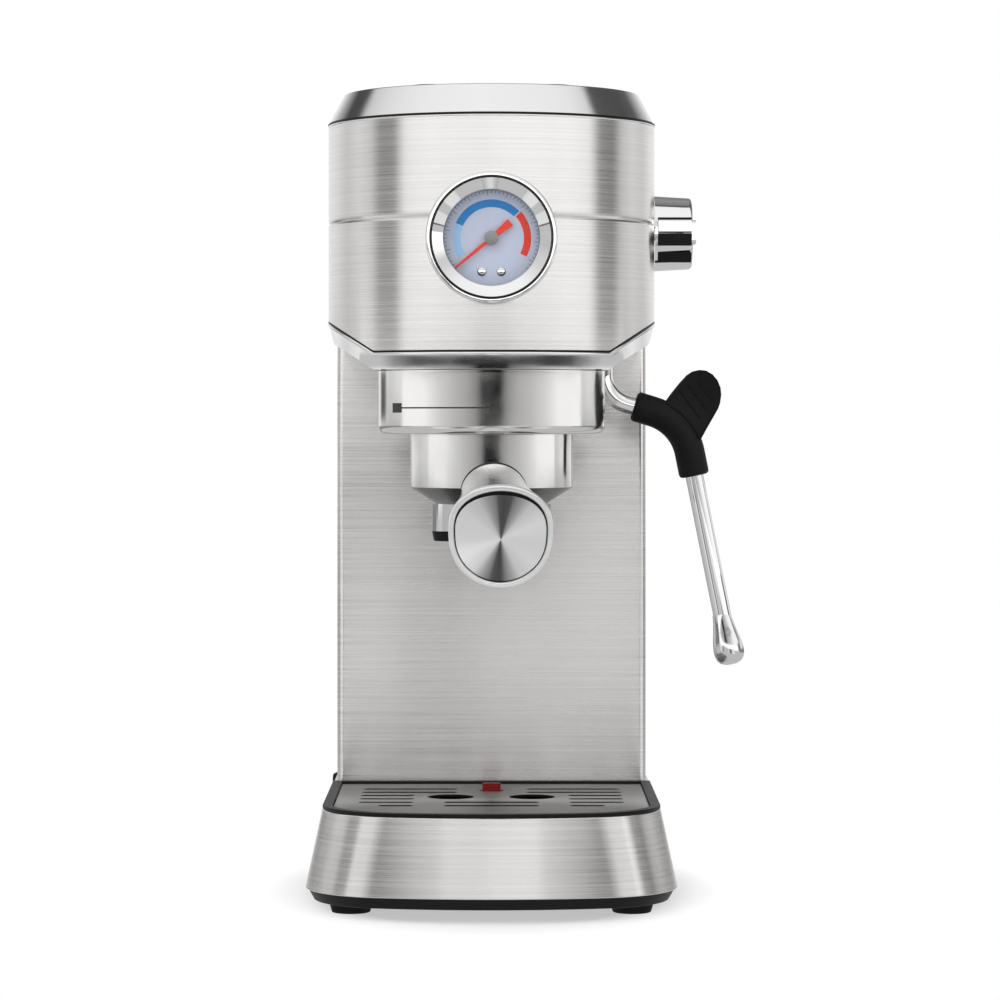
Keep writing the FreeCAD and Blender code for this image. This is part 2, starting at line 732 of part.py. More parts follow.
def build_head():
    """Half-round steel wrap, its polished collar, the top cover and the cup warmer."""
    head = prism("head_shell", half_round("head_radius", "body_rear"), HEAD_BOTTOM, "head_height")
    hollow = sketch_on(head, "XY_Plane", HEAD_BOTTOM)
    outline(hollow, half_round("(head_radius - head_wall)", "(body_rear + head_wall)"))
    pocket(head, hollow, "head_height", forward=True)
    side = "(head_radius + wedge_margin)"
    corners = sketch_on(head, "XZ_Plane")
    low = f"({HEAD_BOTTOM} - wedge_margin)"
    high = f"({HEAD_BOTTOM} + {HEAD_SLOPE} * ({side} - head_flat_half))"
    for sign in ("", "-"):
        points = [
            (f"{sign}head_flat_half", low),
            (f"{sign}{side}", low),
            (f"{sign}{side}", high),
            (f"{sign}head_flat_half", HEAD_BOTTOM),
        ]
        outline(corners, points if sign == "" else points[::-1])
    pocket(head, corners)
    bead = sketch_on(head, "XY_Plane", f"{HEAD_BOTTOM} + bead_height")
    outline(bead, half_round(side, "(body_rear + 2 * wedge_margin)"))
    outline(bead, half_round("(head_radius - bead_depth)", "(body_rear + wedge_margin)"))
    pocket(head, bead, "bead_width", forward=True)
    window = circle(sketch_on(head, "XZ_Plane"), "0", "gauge_z", "case_radius + loose_gap")
    pocket(head, window, side, forward=True)
    shaft_hole = circle(sketch_on(head, "YZ_Plane"), "knob_y", "knob_z", "shaft_hole")
    pocket(head, shaft_hole, side, forward=True)
    node("head_shell", head)

    collar_radius = "(head_radius - seat_gap)"
    plan = half_round(collar_radius, "column_face")
    collar = prism("head_collar", plan, RING_TOP, "collar_thickness + head_chamfer")
    above = sketch_on(collar, "XZ_Plane")
    top = f"({HEAD_BOTTOM} + head_chamfer + wedge_margin)"
    rise = f"({HEAD_BOTTOM} + {HEAD_SLOPE} * ({side} - head_flat_half))"
    outline(above, [
        ("-head_flat_half", HEAD_BOTTOM),
        ("head_flat_half", HEAD_BOTTOM),
        (side, rise),
        (side, top + " + wedge_margin"),
        (f"-{side}", top + " + wedge_margin"),
        (f"-{side}", rise),
    ])
    pocket(collar, above)
    below = sketch_on(collar, "XZ_Plane")
    shoulder = "(head_radius - collar_lean)"
    shoulder_z = f"({HEAD_BOTTOM} + head_chamfer - collar_side_drop)"
    flat = "(head_flat_half - seat_gap)"
    low = f"({RING_TOP} - wedge_margin)"
    for sign in ("", "-"):
        points = [
            (f"{sign}{flat}", low),
            (f"{sign}{side}", low),
            (f"{sign}{side}", f"{HEAD_BOTTOM} + head_chamfer"),
            (f"{sign}{collar_radius}", f"{HEAD_BOTTOM} + head_chamfer"),
            (f"{sign}{shoulder}", shoulder_z),
            (f"{sign}{flat}", RING_TOP),
        ]
        outline(below, points if sign == "" else points[::-1])
    pocket(collar, below)
    bores = sketch_on(collar, "XY_Plane", RING_TOP)
    circle(bores, "0", "0", "spigot_radius")
    circle(bores, "wand_x", "wand_y", "socket_radius + seat_gap")
    pocket(collar, bores)
    node("head_collar", collar)

    cover = new_body("top_cover")
    lower = outline(sketch_on(cover, "XY_Plane", HEAD_TOP), half_round("head_radius", "body_rear"))
    plan = half_round("(head_radius - cover_inset)", "body_rear")
    upper = outline(sketch_on(cover, "XY_Plane", COVER_TOP), plan)
    loft(cover, "Additive", [lower, upper])
    hollow = sketch_on(cover, "XY_Plane", HEAD_TOP)
    outline(hollow, half_round("(head_radius - cover_inset - cover_wall)", "(body_rear - cover_wall)"))
    pocket(cover, hollow, "cover_height - cover_wall", forward=True)
    holes = sketch_on(cover, "XY_Plane", COVER_TOP)
    for step in BUTTON_STEPS:
        circle(holes, f"{step} * button_pitch", "button_y", "button_radius + loose_gap")
    pocket(cover, holes, "cover_wall")
    recess = sketch_on(cover, "XY_Plane", COVER_TOP)
    outline(recess, oblong("-warmer_half", "warmer_half", "warmer_front", "warmer_rear", "warmer_corner"))
    pocket(cover, recess, "warmer_thickness")
    node("top_cover", cover)

    inner = "(warmer_half - seat_gap)"
    rear = "(warmer_rear - seat_gap)"
    plan = oblong(f"-{inner}", inner, "(warmer_front + seat_gap)", rear, "warmer_corner")
    warmer = prism("cup_warmer_plate", plan, f"{COVER_TOP} - warmer_thickness", "warmer_thickness")
    node("cup_warmer_plate", warmer)


BUTTON_STEPS = (-1, 0, 1)


def build_group():
    """Trim ring, bayonet casting, gasket, shower screen with its screw, and the heater block."""
    ring = lathe("group_ring", [
        ("group_radius", RING_BOTTOM),
        ("ring_radius - ring_edge", RING_BOTTOM, "ring_edge"),
        ("ring_radius", f"{RING_BOTTOM} + ring_edge"),
        ("ring_radius", RING_TOP),
        ("group_radius", RING_TOP),
    ])
    node("group_ring", ring)

    bayonet_top = f"({BAYONET_FLOOR} + bayonet_height)"
    group = lathe("brew_group", [
        ("flange_bore", GROUP_BOTTOM),
        ("group_radius", GROUP_BOTTOM),
        ("group_radius", RING_TOP),
        ("spigot_radius", RING_TOP),
        ("spigot_radius", HEAD_BOTTOM),
        ("water_bore", HEAD_BOTTOM),
        ("water_bore", GASKET_SEAT),
        ("gasket_outer", GASKET_SEAT),
        ("gasket_outer", bayonet_top),
        ("bayonet_bore", bayonet_top),
        ("bayonet_bore", BAYONET_FLOOR),
        ("flange_bore", BAYONET_FLOOR),
    ])
    notches = sketch_on(group, "XY_Plane", GROUP_BOTTOM)
    inner = "(flange_bore - wedge_margin)"
    outer = "(bayonet_bore / cos(notch_half))"
    for turn in ("notch_angle", "(notch_angle + 180)"):
        start = f"({turn} - notch_half)"
        end = f"({turn} + notch_half)"
        outline(notches, [
            (f"{inner} * cos({start})", f"{inner} * sin({start})"),
            (f"{outer} * cos({start})", f"{outer} * sin({start})"),
            (f"{outer} * cos({end})", f"{outer} * sin({end})"),
            (f"{inner} * cos({end})", f"{inner} * sin({end})"),
        ])
    pocket(group, notches, "flange_thickness", forward=True)
    node("brew_group", group)

    gasket = lathe("group_gasket", [
        ("gasket_inner", f"{GASKET_SEAT} - gasket_height"),
        ("gasket_outer", f"{GASKET_SEAT} - gasket_height"),
        ("gasket_outer", GASKET_SEAT),
        ("gasket_inner", GASKET_SEAT),
    ])
    node("group_gasket", gasket)

    plate = f"({GASKET_SEAT} - screen_drop)"
    screen = lathe("shower_screen", [
        ("screw_radius", plate),
        ("screen_radius", plate),
        ("screen_radius", GASKET_SEAT),
        ("screen_radius - screen_wall", GASKET_SEAT),
        ("screen_radius - screen_wall", f"{plate} + screen_wall"),
        ("screw_radius", f"{plate} + screen_wall"),
    ])
    node("shower_screen", screen)
    screw = lathe("screen_screw", [
        ("0", f"{plate} - screw_head_height"),
        ("screw_head_radius", f"{plate} - screw_head_height"),
        ("screw_head_radius", plate),
        ("screw_radius", plate),
        ("screw_radius", f"{plate} + screw_length"),
        ("0", f"{plate} + screw_length"),
    ])
    node("screen_screw", screw)

    plan = oblong("-block_half", "block_half", "-block_front", "block_rear", "block_edge")
    node("thermoblock", prism("thermoblock", plan, HEAD_BOTTOM, "block_height"))


def along_handle(distance):
    """Give the place at a distance from the brew axis along the sloping handle's axis."""
    reach = f"({distance}) * cos(handle_slope)"
    yaw = Rotation(Vector(0, 0, 1), number("handle_yaw"))
    return {
        "x": f"{reach} * sin(handle_yaw)",
        "y": f"-{reach} * cos(handle_yaw)",
        "z": f"{HANDLE_Z} - ({distance}) * sin(handle_slope)",
        "turn": yaw * Rotation(Vector(1, 0, 0), 90 + number("handle_slope")),
    }


def build_holder():
    """Filter holder with two bayonet lugs, its handle and end cap, basket and twin spout."""
    holder = lathe("portafilter_body", [
        ("outlet_radius", HOLDER_BOTTOM),
        ("holder_bottom_radius", HOLDER_BOTTOM),
        ("holder_radius", HOLDER_SHOULDER),
        ("holder_radius", "holder_top"),
        ("holder_bore", "holder_top"),
        ("holder_bore", f"{HOLDER_SHOULDER} + holder_floor"),
        ("outlet_radius", f"{HOLDER_BOTTOM} + holder_floor"),
    ])
    section = sketch_on(holder, "XZ_Plane")
    inner = "((holder_bore + holder_radius) / 2)"
    lug_floor = f"({BAYONET_FLOOR} + loose_gap)"
    outline(section, [
        (inner, lug_floor),
        ("lug_reach", lug_floor),
        ("lug_reach", f"{lug_floor} + lug_height"),
        (inner, f"{lug_floor} + lug_height"),
    ])
    lug = holder.newObject("PartDesign::Revolution", "lug")
    lug.Profile = section
    lug.ReferenceAxis = (section, ["V_Axis"])
    lug.Midplane = True
    bind(lug, Angle="2 * lug_half")
    pair = holder.newObject("PartDesign::PolarPattern", "lug_pair")
    pair.Originals = [lug]
    pair.Axis = (section, ["V_Axis"])
    pair.Angle = 360
    pair.Occurrences = 2
    holder.Tip = pair
    length = "ferrule_end - ferrule_start"
    ferrule = rod(radius="ferrule_radius", length=length, **along_handle("ferrule_start"))
    node("portafilter_body", join(holder, ferrule))

    handle = lathe("portafilter_handle", [
        ("0", "0"),
        ("handle_root - handle_edge", "0", "handle_edge"),
        ("handle_root", "handle_edge", "-handle_sweep"),
        ("handle_end", "handle_length"),
        ("0", "handle_length"),
    ])
    node("portafilter_handle", handle, **along_handle("ferrule_end"))
    cap = lathe("handle_cap", [
        ("0", "0"),
        ("handle_end", "0"),
        ("handle_end", "cap_thickness - cap_edge", "cap_edge"),
        ("handle_end - cap_edge", "cap_thickness"),
        ("cap_disc + cap_edge", "cap_thickness"),
        ("cap_disc", "cap_thickness - cap_recess"),
        ("0", "cap_thickness - cap_recess"),
    ])
    node("handle_cap", cap, **along_handle("ferrule_end + handle_length"))

    outer = "(holder_bore - seat_gap)"
    basket_floor = f"({HOLDER_SHOULDER} + holder_floor + basket_clear)"
    basket = lathe("filter_basket", [
        ("0", basket_floor),
        (outer, basket_floor),
        (outer, "holder_top"),
        ("basket_rim_radius", "holder_top"),
        ("basket_rim_radius", "holder_top + basket_rim"),
        (f"{outer} - basket_wall", "holder_top + basket_rim"),
        (f"{outer} - basket_wall", f"{basket_floor} + basket_wall"),
        ("0", f"{basket_floor} + basket_wall"),
    ])
    node("filter_basket", basket)

    bar_bottom = f"({HOLDER_BOTTOM} - spout_bar)"
    channel = "(spout_bar / 2)"
    bar = box("-spout_x", "-spout_radius", bar_bottom, "2 * spout_x", "2 * spout_radius", "spout_bar")
    duct_z = f"{bar_bottom} + {channel} / 2"
    duct = box("-spout_x", "-spout_bore", duct_z, "2 * spout_x", "2 * spout_bore", channel)
    inlet = rod("0", "0", f"{HOLDER_BOTTOM} - {channel}", "spout_bore", channel)
    legs = [bar]
    bores = [duct, inlet]
    tips = []
    for x in ("spout_x", "-spout_x"):
        legs.append(rod(x, "0", SPOUT_BOTTOM, "spout_radius", "spout_drop"))
        bores.append(rod(x, "0", SPOUT_BOTTOM, "spout_bore", f"spout_drop - spout_bar + {channel}"))
        tip = doc.addObject("Part::Cone", "tip")
        bind(tip, Radius1="tip_radius", Radius2="spout_radius", Height="tip_length")
        put(tip, x, "0", f"{SPOUT_BOTTOM} - tip_length")
        tips.append(cut(tip, rod(x, "0", f"{SPOUT_BOTTOM} - tip_length", "spout_bore", "tip_length")))
    node("twin_spout", cut(join(*legs), *bores))
    node("spout_tips", join(*tips))


def build_gauge():
    """Pressure gauge: trim, can, dial, movement, needle, lens and its pipe to the heater block."""
    place = {"y": GAUGE_FACE, "z": "gauge_z", "turn": FORWARD}
    mouth = "(case_radius + seat_gap)"
    blank = lathe("gauge_trim", [
        (mouth, "-trim_skirt"),
        ("gauge_radius", "-trim_skirt"),
        ("gauge_radius", "gauge_proud - trim_edge", "trim_edge"),
        ("gauge_radius - trim_edge", "gauge_proud"),
        ("gauge_line + trim_groove", "gauge_proud"),
        ("gauge_line", "gauge_proud - 2 * trim_groove"),
        ("gauge_line - trim_groove", "gauge_proud"),
        ("dial_window", "trim_lip"),
        ("dial_window", "0"),
        (mouth, "0"),
    ])
    put(blank, **place)
    wrap = rod("0", "0", "gauge_z - head_radius", "head_radius + seat_gap", "2 * head_radius")
    node("gauge_trim", cut(blank, wrap))

    inner = "(case_radius - case_wall)"
    case = lathe("gauge_case", [
        ("0", "-case_depth"),
        ("case_radius", "-case_depth"),
        ("case_radius", "-seat_gap"),
        (inner, "-seat_gap"),
        (inner, "case_wall - case_depth"),
        ("0", "case_wall - case_depth"),
    ])
    node("gauge_case", case, **place)

    disc = f"({inner} - seat_gap)"
    pin_hole = "(needle_pin + running_gap)"
    dial = lathe("gauge_dial", [
        (pin_hole, "-dial_depth - dial_thickness"),
        (disc, "-dial_depth - dial_thickness"),
        (disc, "-dial_depth"),
        (pin_hole, "-dial_depth"),
    ])
    node("gauge_dial", dial, **place)
    lens = lathe("gauge_lens", [
        ("0", "-seat_gap - lens_thickness"),
        (disc, "-seat_gap - lens_thickness"),
        (disc, "-seat_gap"),
        ("0", "-seat_gap"),
    ])
    node("gauge_lens", lens, **place)

    movement = lathe("gauge_movement", [
        (pin_hole, "case_wall - case_depth"),
        ("movement_radius", "case_wall - case_depth"),
        ("movement_radius", "-dial_depth - dial_thickness"),
        (pin_hole, "-dial_depth - dial_thickness"),
    ])
    node("gauge_movement", movement, **place)

    blade = "(needle_lift - dial_depth)"
    needle = lathe("gauge_needle", [
        ("0", "-dial_depth - dial_thickness - needle_hub"),
        ("needle_pin", "-dial_depth - dial_thickness - needle_hub"),
        ("needle_pin", blade),
        ("needle_hub", blade),
        ("needle_hub", f"{blade} + 2 * needle_thickness"),
        ("0", f"{blade} + 2 * needle_thickness"),
    ])
    outline_sketch = sketch_on(needle, "XY_Plane", blade)
    outline(outline_sketch, [
        ("-needle_tail", "-needle_width"),
        ("0", "-needle_width / 2"),
        ("needle_reach", "-needle_width / 4"),
        ("needle_reach", "needle_width / 4"),
        ("0", "needle_width / 2"),
        ("-needle_tail", "needle_width"),
    ])
    pad(needle, outline_sketch, "needle_thickness")
    needle_turn = FORWARD.multiply(Rotation(Vector(0, 0, 1), number("needle_angle")))
    node("gauge_needle", needle, y=GAUGE_FACE, z="gauge_z", turn=needle_turn)

    back = number(f"{GAUGE_FACE} + case_depth")
    bend_y = back + 2 * number("gauge_pipe_bend")
    route = [
        Vector(0, back, number("gauge_z")),
        Vector(0, bend_y, number("gauge_z")),
        Vector(0, bend_y, number(BLOCK_TOP)),
    ]
    bent_tube("gauge_pipe", route, [number("gauge_pipe_bend")], number("pipe_radius"))


def bent_wire(route, bends):
    """Join straight runs with tangent arcs at the route's inner points."""
    edges = []
    start = route[0]
    for before, corner, after, bend in zip(route, route[1:], route[2:], bends):
        back = (before - corner).normalize()
        ahead = (after - corner).normalize()
        half = back.getAngle(ahead) / 2
        trim = bend / math.tan(half)
        middle = corner + (back + ahead).normalize() * (bend / math.sin(half) - bend)
        edges.append(Part.LineSegment(start, corner + back * trim).toShape())
        edges.append(Part.Arc(corner + back * trim, middle, corner + ahead * trim).toShape())
        start = corner + ahead * trim
    edges.append(Part.LineSegment(start, route[-1]).toShape())
    return Part.Wire(edges)


def sweep(route, bends, radius):
    """Sweep a circle along a bent route."""
    ring = Part.Circle(route[0], (route[1] - route[0]).normalize(), radius).toShape()
    return bent_wire(route, bends).makePipeShell([Part.Wire(ring)], True, False)


def bent_tube(label, route, bends, radius):
    """Make a bent rod or pipe."""
    feature = doc.addObject("Part::Feature", label)
    feature.Shape = sweep(route, bends, radius)
    return node(label, feature)


def build_knob():
    """Steam knob on its shaft, and the valve inside the head."""
    bore = "knob_depth - knob_face"
    knob = lathe("steam_knob", [
        ("shaft_radius", "0"),
        ("knob_radius", "0"),
        ("knob_radius - knob_draft", "knob_depth - knob_edge", "knob_edge"),
        ("knob_radius - knob_draft - knob_edge", "knob_depth"),
        ("0", "knob_depth"),
        ("0", bore),
        ("shaft_radius", bore),
    ])
    bar = sketch_on(knob, "XY_Plane", bore)
    half = "(knob_bar / 2)"
    outline(bar, oblong(f"-{half}", half, "-knob_radius", "knob_radius", "knob_edge"))
    pad(knob, bar, "knob_face + knob_bar_proud")
    face = "(head_radius + knob_gap)"
    node("steam_knob", knob, face, "knob_y", "knob_z", RIGHTWARD)

    start = "(valve_start + valve_half)"
    length = f"{face} + {bore} - {start}"
    node("knob_shaft", rod("0", "0", "0", "shaft_radius", length), start, "knob_y", "knob_z", RIGHTWARD)
    width = "2 * valve_half"
    length = "valve_end - valve_start"
    body = box("valve_start", "knob_y - valve_half", "knob_z - valve_half", length, width, width)
    hole_start = f"({start} - loose_gap)"
    length = f"valve_end - {hole_start}"
    hole = rod(hole_start, "knob_y", "knob_z", "shaft_radius + running_gap", length, RIGHTWARD)
    node("steam_valve", cut(body, hole))
    socket_top = "(wand_top + loose_gap + socket_cap)"
    pipe_height = f"knob_z - valve_half - {socket_top}"
    node("steam_pipe", rod("0", "0", "0", "steam_pipe_radius", pipe_height), "wand_x", "wand_y", socket_top)


def build_wand():
    """Steam wand: a bent steel tube that swivels in its socket, with a grip, a thumb paddle and a tip."""
    bore = "(wand_radius + running_gap)"
    socket = lathe("wand_socket", [
        (bore, "socket_bottom"),
        ("socket_radius - knob_edge", "socket_bottom", "knob_edge"),
        ("socket_radius", "socket_bottom + knob_edge"),
        ("socket_radius", "wand_top + loose_gap + socket_cap"),
        ("0", "wand_top + loose_gap + socket_cap"),
        ("0", "wand_top + loose_gap"),
        (bore, "wand_top + loose_gap"),
    ])
    node("wand_socket", socket, "wand_x", "wand_y")

    lean = math.radians(number("wand_lean"))
    down = Vector(math.sin(lean), 0, -math.cos(lean))
    pivot_x = number("wand_x")
    side = number("wand_y")
    corner = Vector(number("wand_corner_x"), side, number("wand_corner_z"))
    elbow = Vector(pivot_x, side, number("wand_elbow_z"))
    end = corner + down * ((corner.z - number("wand_tip_z")) / math.cos(lean))
    tip_start = end - down * number("wand_tip_length")
    route = [Vector(pivot_x, side, number("wand_top")), elbow, corner, tip_start + down * number("tip_bore")]
    bends = [number("wand_elbow_bend"), number("wand_bend")]
    bent_tube("wand_tube", route, bends, number("wand_radius"))

    sleeve = [
        corner + (elbow - corner).normalize() * number("grip_start"),
        corner,
        corner + down * number("grip_end"),
    ]
    grip = sweep(sleeve, bends[1:], number("grip_radius"))
    lift = math.radians(number("paddle_angle"))
    toward = Vector(math.cos(lift), 0, math.sin(lift))
    across = Vector(-toward.z, 0, toward.x)
    crest = corner + toward * number("paddle_reach")
    root = number("paddle_root")
    crown = number("paddle_end")
    half = Vector(0, number("paddle_thickness") / 2, 0)
    rim = [corner + across * root, corner - across * root, crest - across * crown, crest + across * crown]
    web = Part.Face(Part.makePolygon([point - half for point in rim + rim[:1]])).extrude(half * 2)
    pad_end = Part.makeCylinder(crown, half.y * 2, crest - half, Vector(0, 1, 0))
    grip = grip.fuse([web, pad_end])
    groove = number("paddle_groove")
    for step in (-1, 0, 1):
        middle = crest + toward * (step * number("groove_pitch"))
        start = middle - across * (2 * crown)
        for face in (-half, half):
            grip = grip.cut(Part.makeCylinder(groove, 4 * crown, start + face, across))
    grip = grip.cut(sweep(sleeve, bends[1:], number("wand_radius + seat_gap")))
    sleeve_node = doc.addObject("Part::Feature", "wand_grip")
    sleeve_node.Shape = grip.removeSplitter()
    node("wand_grip", sleeve_node)

    fit = "(wand_radius + seat_gap)"
    tip = lathe("wand_tip", [
        (fit, "0"),
        ("wand_tip_neck", "0"),
        ("wand_tip_radius", "wand_tip_length - tip_band"),
        ("wand_tip_radius", "wand_tip_length - tip_round", "tip_round"),
        ("wand_tip_radius - tip_round", "wand_tip_length"),
        ("0", "wand_tip_length"),
        ("0", "tip_bore"),
        (fit, "tip_bore"),
    ])
    turn = Rotation(Vector(0, 0, 1), down)
    node("wand_tip", tip, f"{tip_start.x}", f"{tip_start.y}", f"{tip_start.z}", turn)


def build_buttons():
    """Three sprung buttons in the top cover and the board under them."""
    under = f"({COVER_TOP} - cover_wall)"
    board_top = f"({under} - board_depth)"
    flange_top = f"({under} - loose_gap)"
    top = f"({COVER_TOP} + button_proud)"
    for step, label in zip(BUTTON_STEPS, ("button_single", "button_double", "button_steam")):
        button = lathe(label, [
            ("0", f"{board_top} + button_travel + loose_gap"),
            ("button_stem", f"{board_top} + button_travel + loose_gap"),
            ("button_stem", f"{flange_top} - button_flange_height"),
            ("button_radius + button_flange", f"{flange_top} - button_flange_height"),
            ("button_radius + button_flange", flange_top),
            ("button_radius", flange_top),
            ("button_radius", f"{top} - button_edge", "button_edge"),
            ("button_radius - button_edge", top),
            ("0", top),
        ])
        node(label, button, f"{step} * button_pitch", "button_y")
    low = f"({board_top} - board_thickness)"
    front = "button_y - board_width / 2"
    board = box("-board_half", front, low, "2 * board_half", "board_width", "board_thickness")
    between = ("-button_pitch / 2", "button_pitch / 2")
    posts = [rod(x, "button_y", board_top, "post_radius", "board_depth") for x in between]
    node("button_board", join(board, *posts))


def build_pump():
    """Pump in its rubber mount, its feed hose and pressure pipe, and the control board."""
    mount_top = f"({PLATE_TOP} + mount_height)"
    pump_foot = f"({mount_top} - mount_recess)"
    mount = lathe("pump_mount", [
        ("0", PLATE_TOP),
        ("mount_radius", PLATE_TOP),
        ("mount_radius", mount_top),
        ("pump_radius + seat_gap", mount_top),
        ("pump_radius + seat_gap", pump_foot),
        ("0", pump_foot),
    ])
    node("pump_mount", mount, "0", "pump_y")
    pump_top = f"({pump_foot} + pump_height)"
    pump = lathe("pump", [
        ("0", pump_foot),
        ("pump_radius", pump_foot),
        ("pump_radius", pump_top),
        ("pump_neck", pump_top),
        ("pump_neck", f"{pump_top} + pump_neck"),
        ("0", f"{pump_top} + pump_neck"),
    ])
    node("pump", pump, "0", "pump_y")
    hose_start = "(pump_y + pump_radius + loose_gap)"
    hose = rod("0", "0", "0", "hose_radius", f"body_rear - {hose_start}")
    node("feed_hose", hose, "0", hose_start, "hose_z", BACKWARD)

    level = number(f"{HEAD_BOTTOM} + pipe_rise")
    route = [
        Vector(0, number("pump_y"), number(f"{pump_top} + pump_neck")),
        Vector(0, number("pump_y"), level),
        Vector(0, number("block_rear"), level),
    ]
    bent_tube("pressure_pipe", route, [number("pipe_bend")], number("pipe_radius"))

    front = "(body_rear - control_stand - board_thickness)"
    height = "control_high - control_low"
    pieces = [box("-control_half", front, "control_low", "2 * control_half", "board_thickness", height)]
    for x in ("control_half - 2 * post_radius", "2 * post_radius - control_half"):
        for z in ("control_low + 2 * post_radius", "control_high - 2 * post_radius"):
            pieces.append(rod(x, f"{front} + board_thickness", z, "post_radius", "control_stand", BACKWARD))
    node("control_board", join(*pieces))


def build_tank():
    """Lift-out water tank with a hinged lid on a pin, and the valve under its floor."""
    front = "(body_rear + back_thickness + tank_gap)"
    plan = oblong("-tank_half", "tank_half", front, "base_rear", "tank_corner")
    shell = prism("water_tank", plan, SKIRT_TOP, f"{TANK_TOP} - {SKIRT_TOP}")
    inner = "(tank_half - tank_wall)"
    inside_rear = "(base_rear - tank_wall)"
    inside = oblong(f"-{inner}", inner, f"({front} + tank_wall)", inside_rear, "(tank_corner - tank_wall)")
    hollow = outline(sketch_on(shell, "XY_Plane", f"{SKIRT_TOP} + tank_wall"), inside)
    pocket(shell, hollow, f"{TANK_TOP} - {SKIRT_TOP} - tank_wall", forward=True)
    stem = "(valve_radius / 2)"
    seat = circle(sketch_on(shell, "XY_Plane", SKIRT_TOP), "0", "valve_y", stem)
    pocket(shell, seat, "tank_wall", forward=True)
    hinge_y = "(base_rear - tank_wall - pin_boss)"
    hinge_z = f"({TANK_TOP} + pin_boss + loose_gap)"
    ear_x = "(lid_barrel + loose_gap)"
    bridge_y = f"({hinge_y} - pin_boss)"
    bridge_depth = f"base_rear - tank_wall - {bridge_y}"
    bridge_z = f"{TANK_TOP} - bridge_height"
    ears = [box(f"-{inner}", bridge_y, bridge_z, f"2 * {inner}", bridge_depth, "bridge_height")]
    bores = []
    for x in (ear_x, f"-{ear_x} - ear_width"):
        ears.append(box(x, bridge_y, TANK_TOP, "ear_width", "2 * pin_boss", "pin_boss + loose_gap"))
        ears.append(rod(x, hinge_y, hinge_z, "pin_boss", "ear_width", RIGHTWARD))
        bores.append(rod(x, hinge_y, hinge_z, "pin_radius", "ear_width", RIGHTWARD))
    node("water_tank", cut(join(shell, *ears), *bores))

    pin_half = f"({ear_x} + ear_width)"
    pin = rod("0", "0", "0", "pin_radius", f"2 * {pin_half}")
    node("lid_pin", pin, f"-{pin_half}", hinge_y, hinge_z, RIGHTWARD)
    lid_rear = f"({bridge_y} - loose_gap)"
    lid_plan = oblong("-tank_half", "tank_half", front, lid_rear, "lid_thickness")
    panel = prism("tank_lid", lid_plan, TANK_TOP, "lid_thickness")
    arm_y = f"{lid_rear} - pin_boss"
    arm = box("-lid_barrel", arm_y, TANK_TOP, "2 * lid_barrel", "2 * pin_boss", "lid_thickness")
    barrel = rod("-lid_barrel", hinge_y, hinge_z, "pin_boss", "2 * lid_barrel", RIGHTWARD)
    bore = rod("-lid_barrel", hinge_y, hinge_z, "pin_radius + running_gap", "2 * lid_barrel", RIGHTWARD)
    node("tank_lid", cut(join(panel, arm, barrel), bore))

    valve = lathe("tank_valve", [
        ("0", f"{SKIRT_TOP} - valve_depth"),
        ("valve_radius", f"{SKIRT_TOP} - valve_depth"),
        ("valve_radius", SKIRT_TOP),
        (stem, SKIRT_TOP),
        (stem, f"{SKIRT_TOP} + 2 * tank_wall"),
        ("0", f"{SKIRT_TOP} + 2 * tank_wall"),
    ])
    node("tank_valve", valve, "0", "valve_y")


def check():
    """Stop if any object failed or any sub-part's shape is empty or broken."""
    doc.recompute()
    for item in doc.Objects:
        if "Invalid" in item.State or "Error" in item.State:
            raise RuntimeError(f"{item.Label} failed: {item.State}")
    for label, piece in nodes.items():
        if piece.Shape.isNull() or not piece.Shape.isValid() or not piece.Shape.Solids:
            raise RuntimeError(f"{label} has no sound solid")


build_base()
build_tray()
build_column()
build_head()
build_group()
build_holder()
build_gauge()
build_knob()
build_wand()
build_buttons()
build_pump()
build_tank()
check()
os.makedirs("parts", exist_ok=True)
for label, piece in nodes.items():
    piece.Shape.exportStep(f"parts/{label}.step")
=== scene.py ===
"""Looks of a compact pump espresso machine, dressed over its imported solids."""

import json
import math

import bmesh
import bpy
from mathutils import Matrix, Vector


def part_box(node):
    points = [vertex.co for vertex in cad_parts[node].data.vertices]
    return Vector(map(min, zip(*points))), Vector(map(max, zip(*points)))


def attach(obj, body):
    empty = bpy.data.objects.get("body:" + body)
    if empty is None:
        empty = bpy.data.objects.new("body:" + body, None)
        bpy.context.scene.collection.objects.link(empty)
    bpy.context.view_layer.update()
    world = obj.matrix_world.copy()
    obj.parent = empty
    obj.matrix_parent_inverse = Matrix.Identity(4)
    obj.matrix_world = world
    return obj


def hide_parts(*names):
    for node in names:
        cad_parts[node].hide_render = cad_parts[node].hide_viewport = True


bl_info = {
    "name": "Espresso Machine Looks",
    "version": (1, 0, 0),
    "blender": (4, 5, 0),
    "location": "View3D > Sidebar > Espresso",
    "description": "Dresses a compact pump espresso machine and sets its studio",
    "category": "Object",
}

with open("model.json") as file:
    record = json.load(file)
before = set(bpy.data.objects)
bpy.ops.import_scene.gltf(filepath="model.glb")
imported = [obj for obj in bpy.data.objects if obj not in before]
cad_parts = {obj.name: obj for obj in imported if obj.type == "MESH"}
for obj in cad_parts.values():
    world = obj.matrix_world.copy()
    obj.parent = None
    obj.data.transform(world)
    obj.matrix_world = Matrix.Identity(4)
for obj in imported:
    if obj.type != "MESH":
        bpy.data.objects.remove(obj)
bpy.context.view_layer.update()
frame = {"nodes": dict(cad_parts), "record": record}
MM = 0.001
UP = Vector((0, 0, 1))
RIGHT = Vector((1, 0, 0))
FRONT = Vector((0, -1, 0))


def middle(node):
    """Give the middle of a solid's box."""
    low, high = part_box(node)
    return (low + high) / 2


BREW = middle("group_ring")
DIAL = middle("gauge_dial")


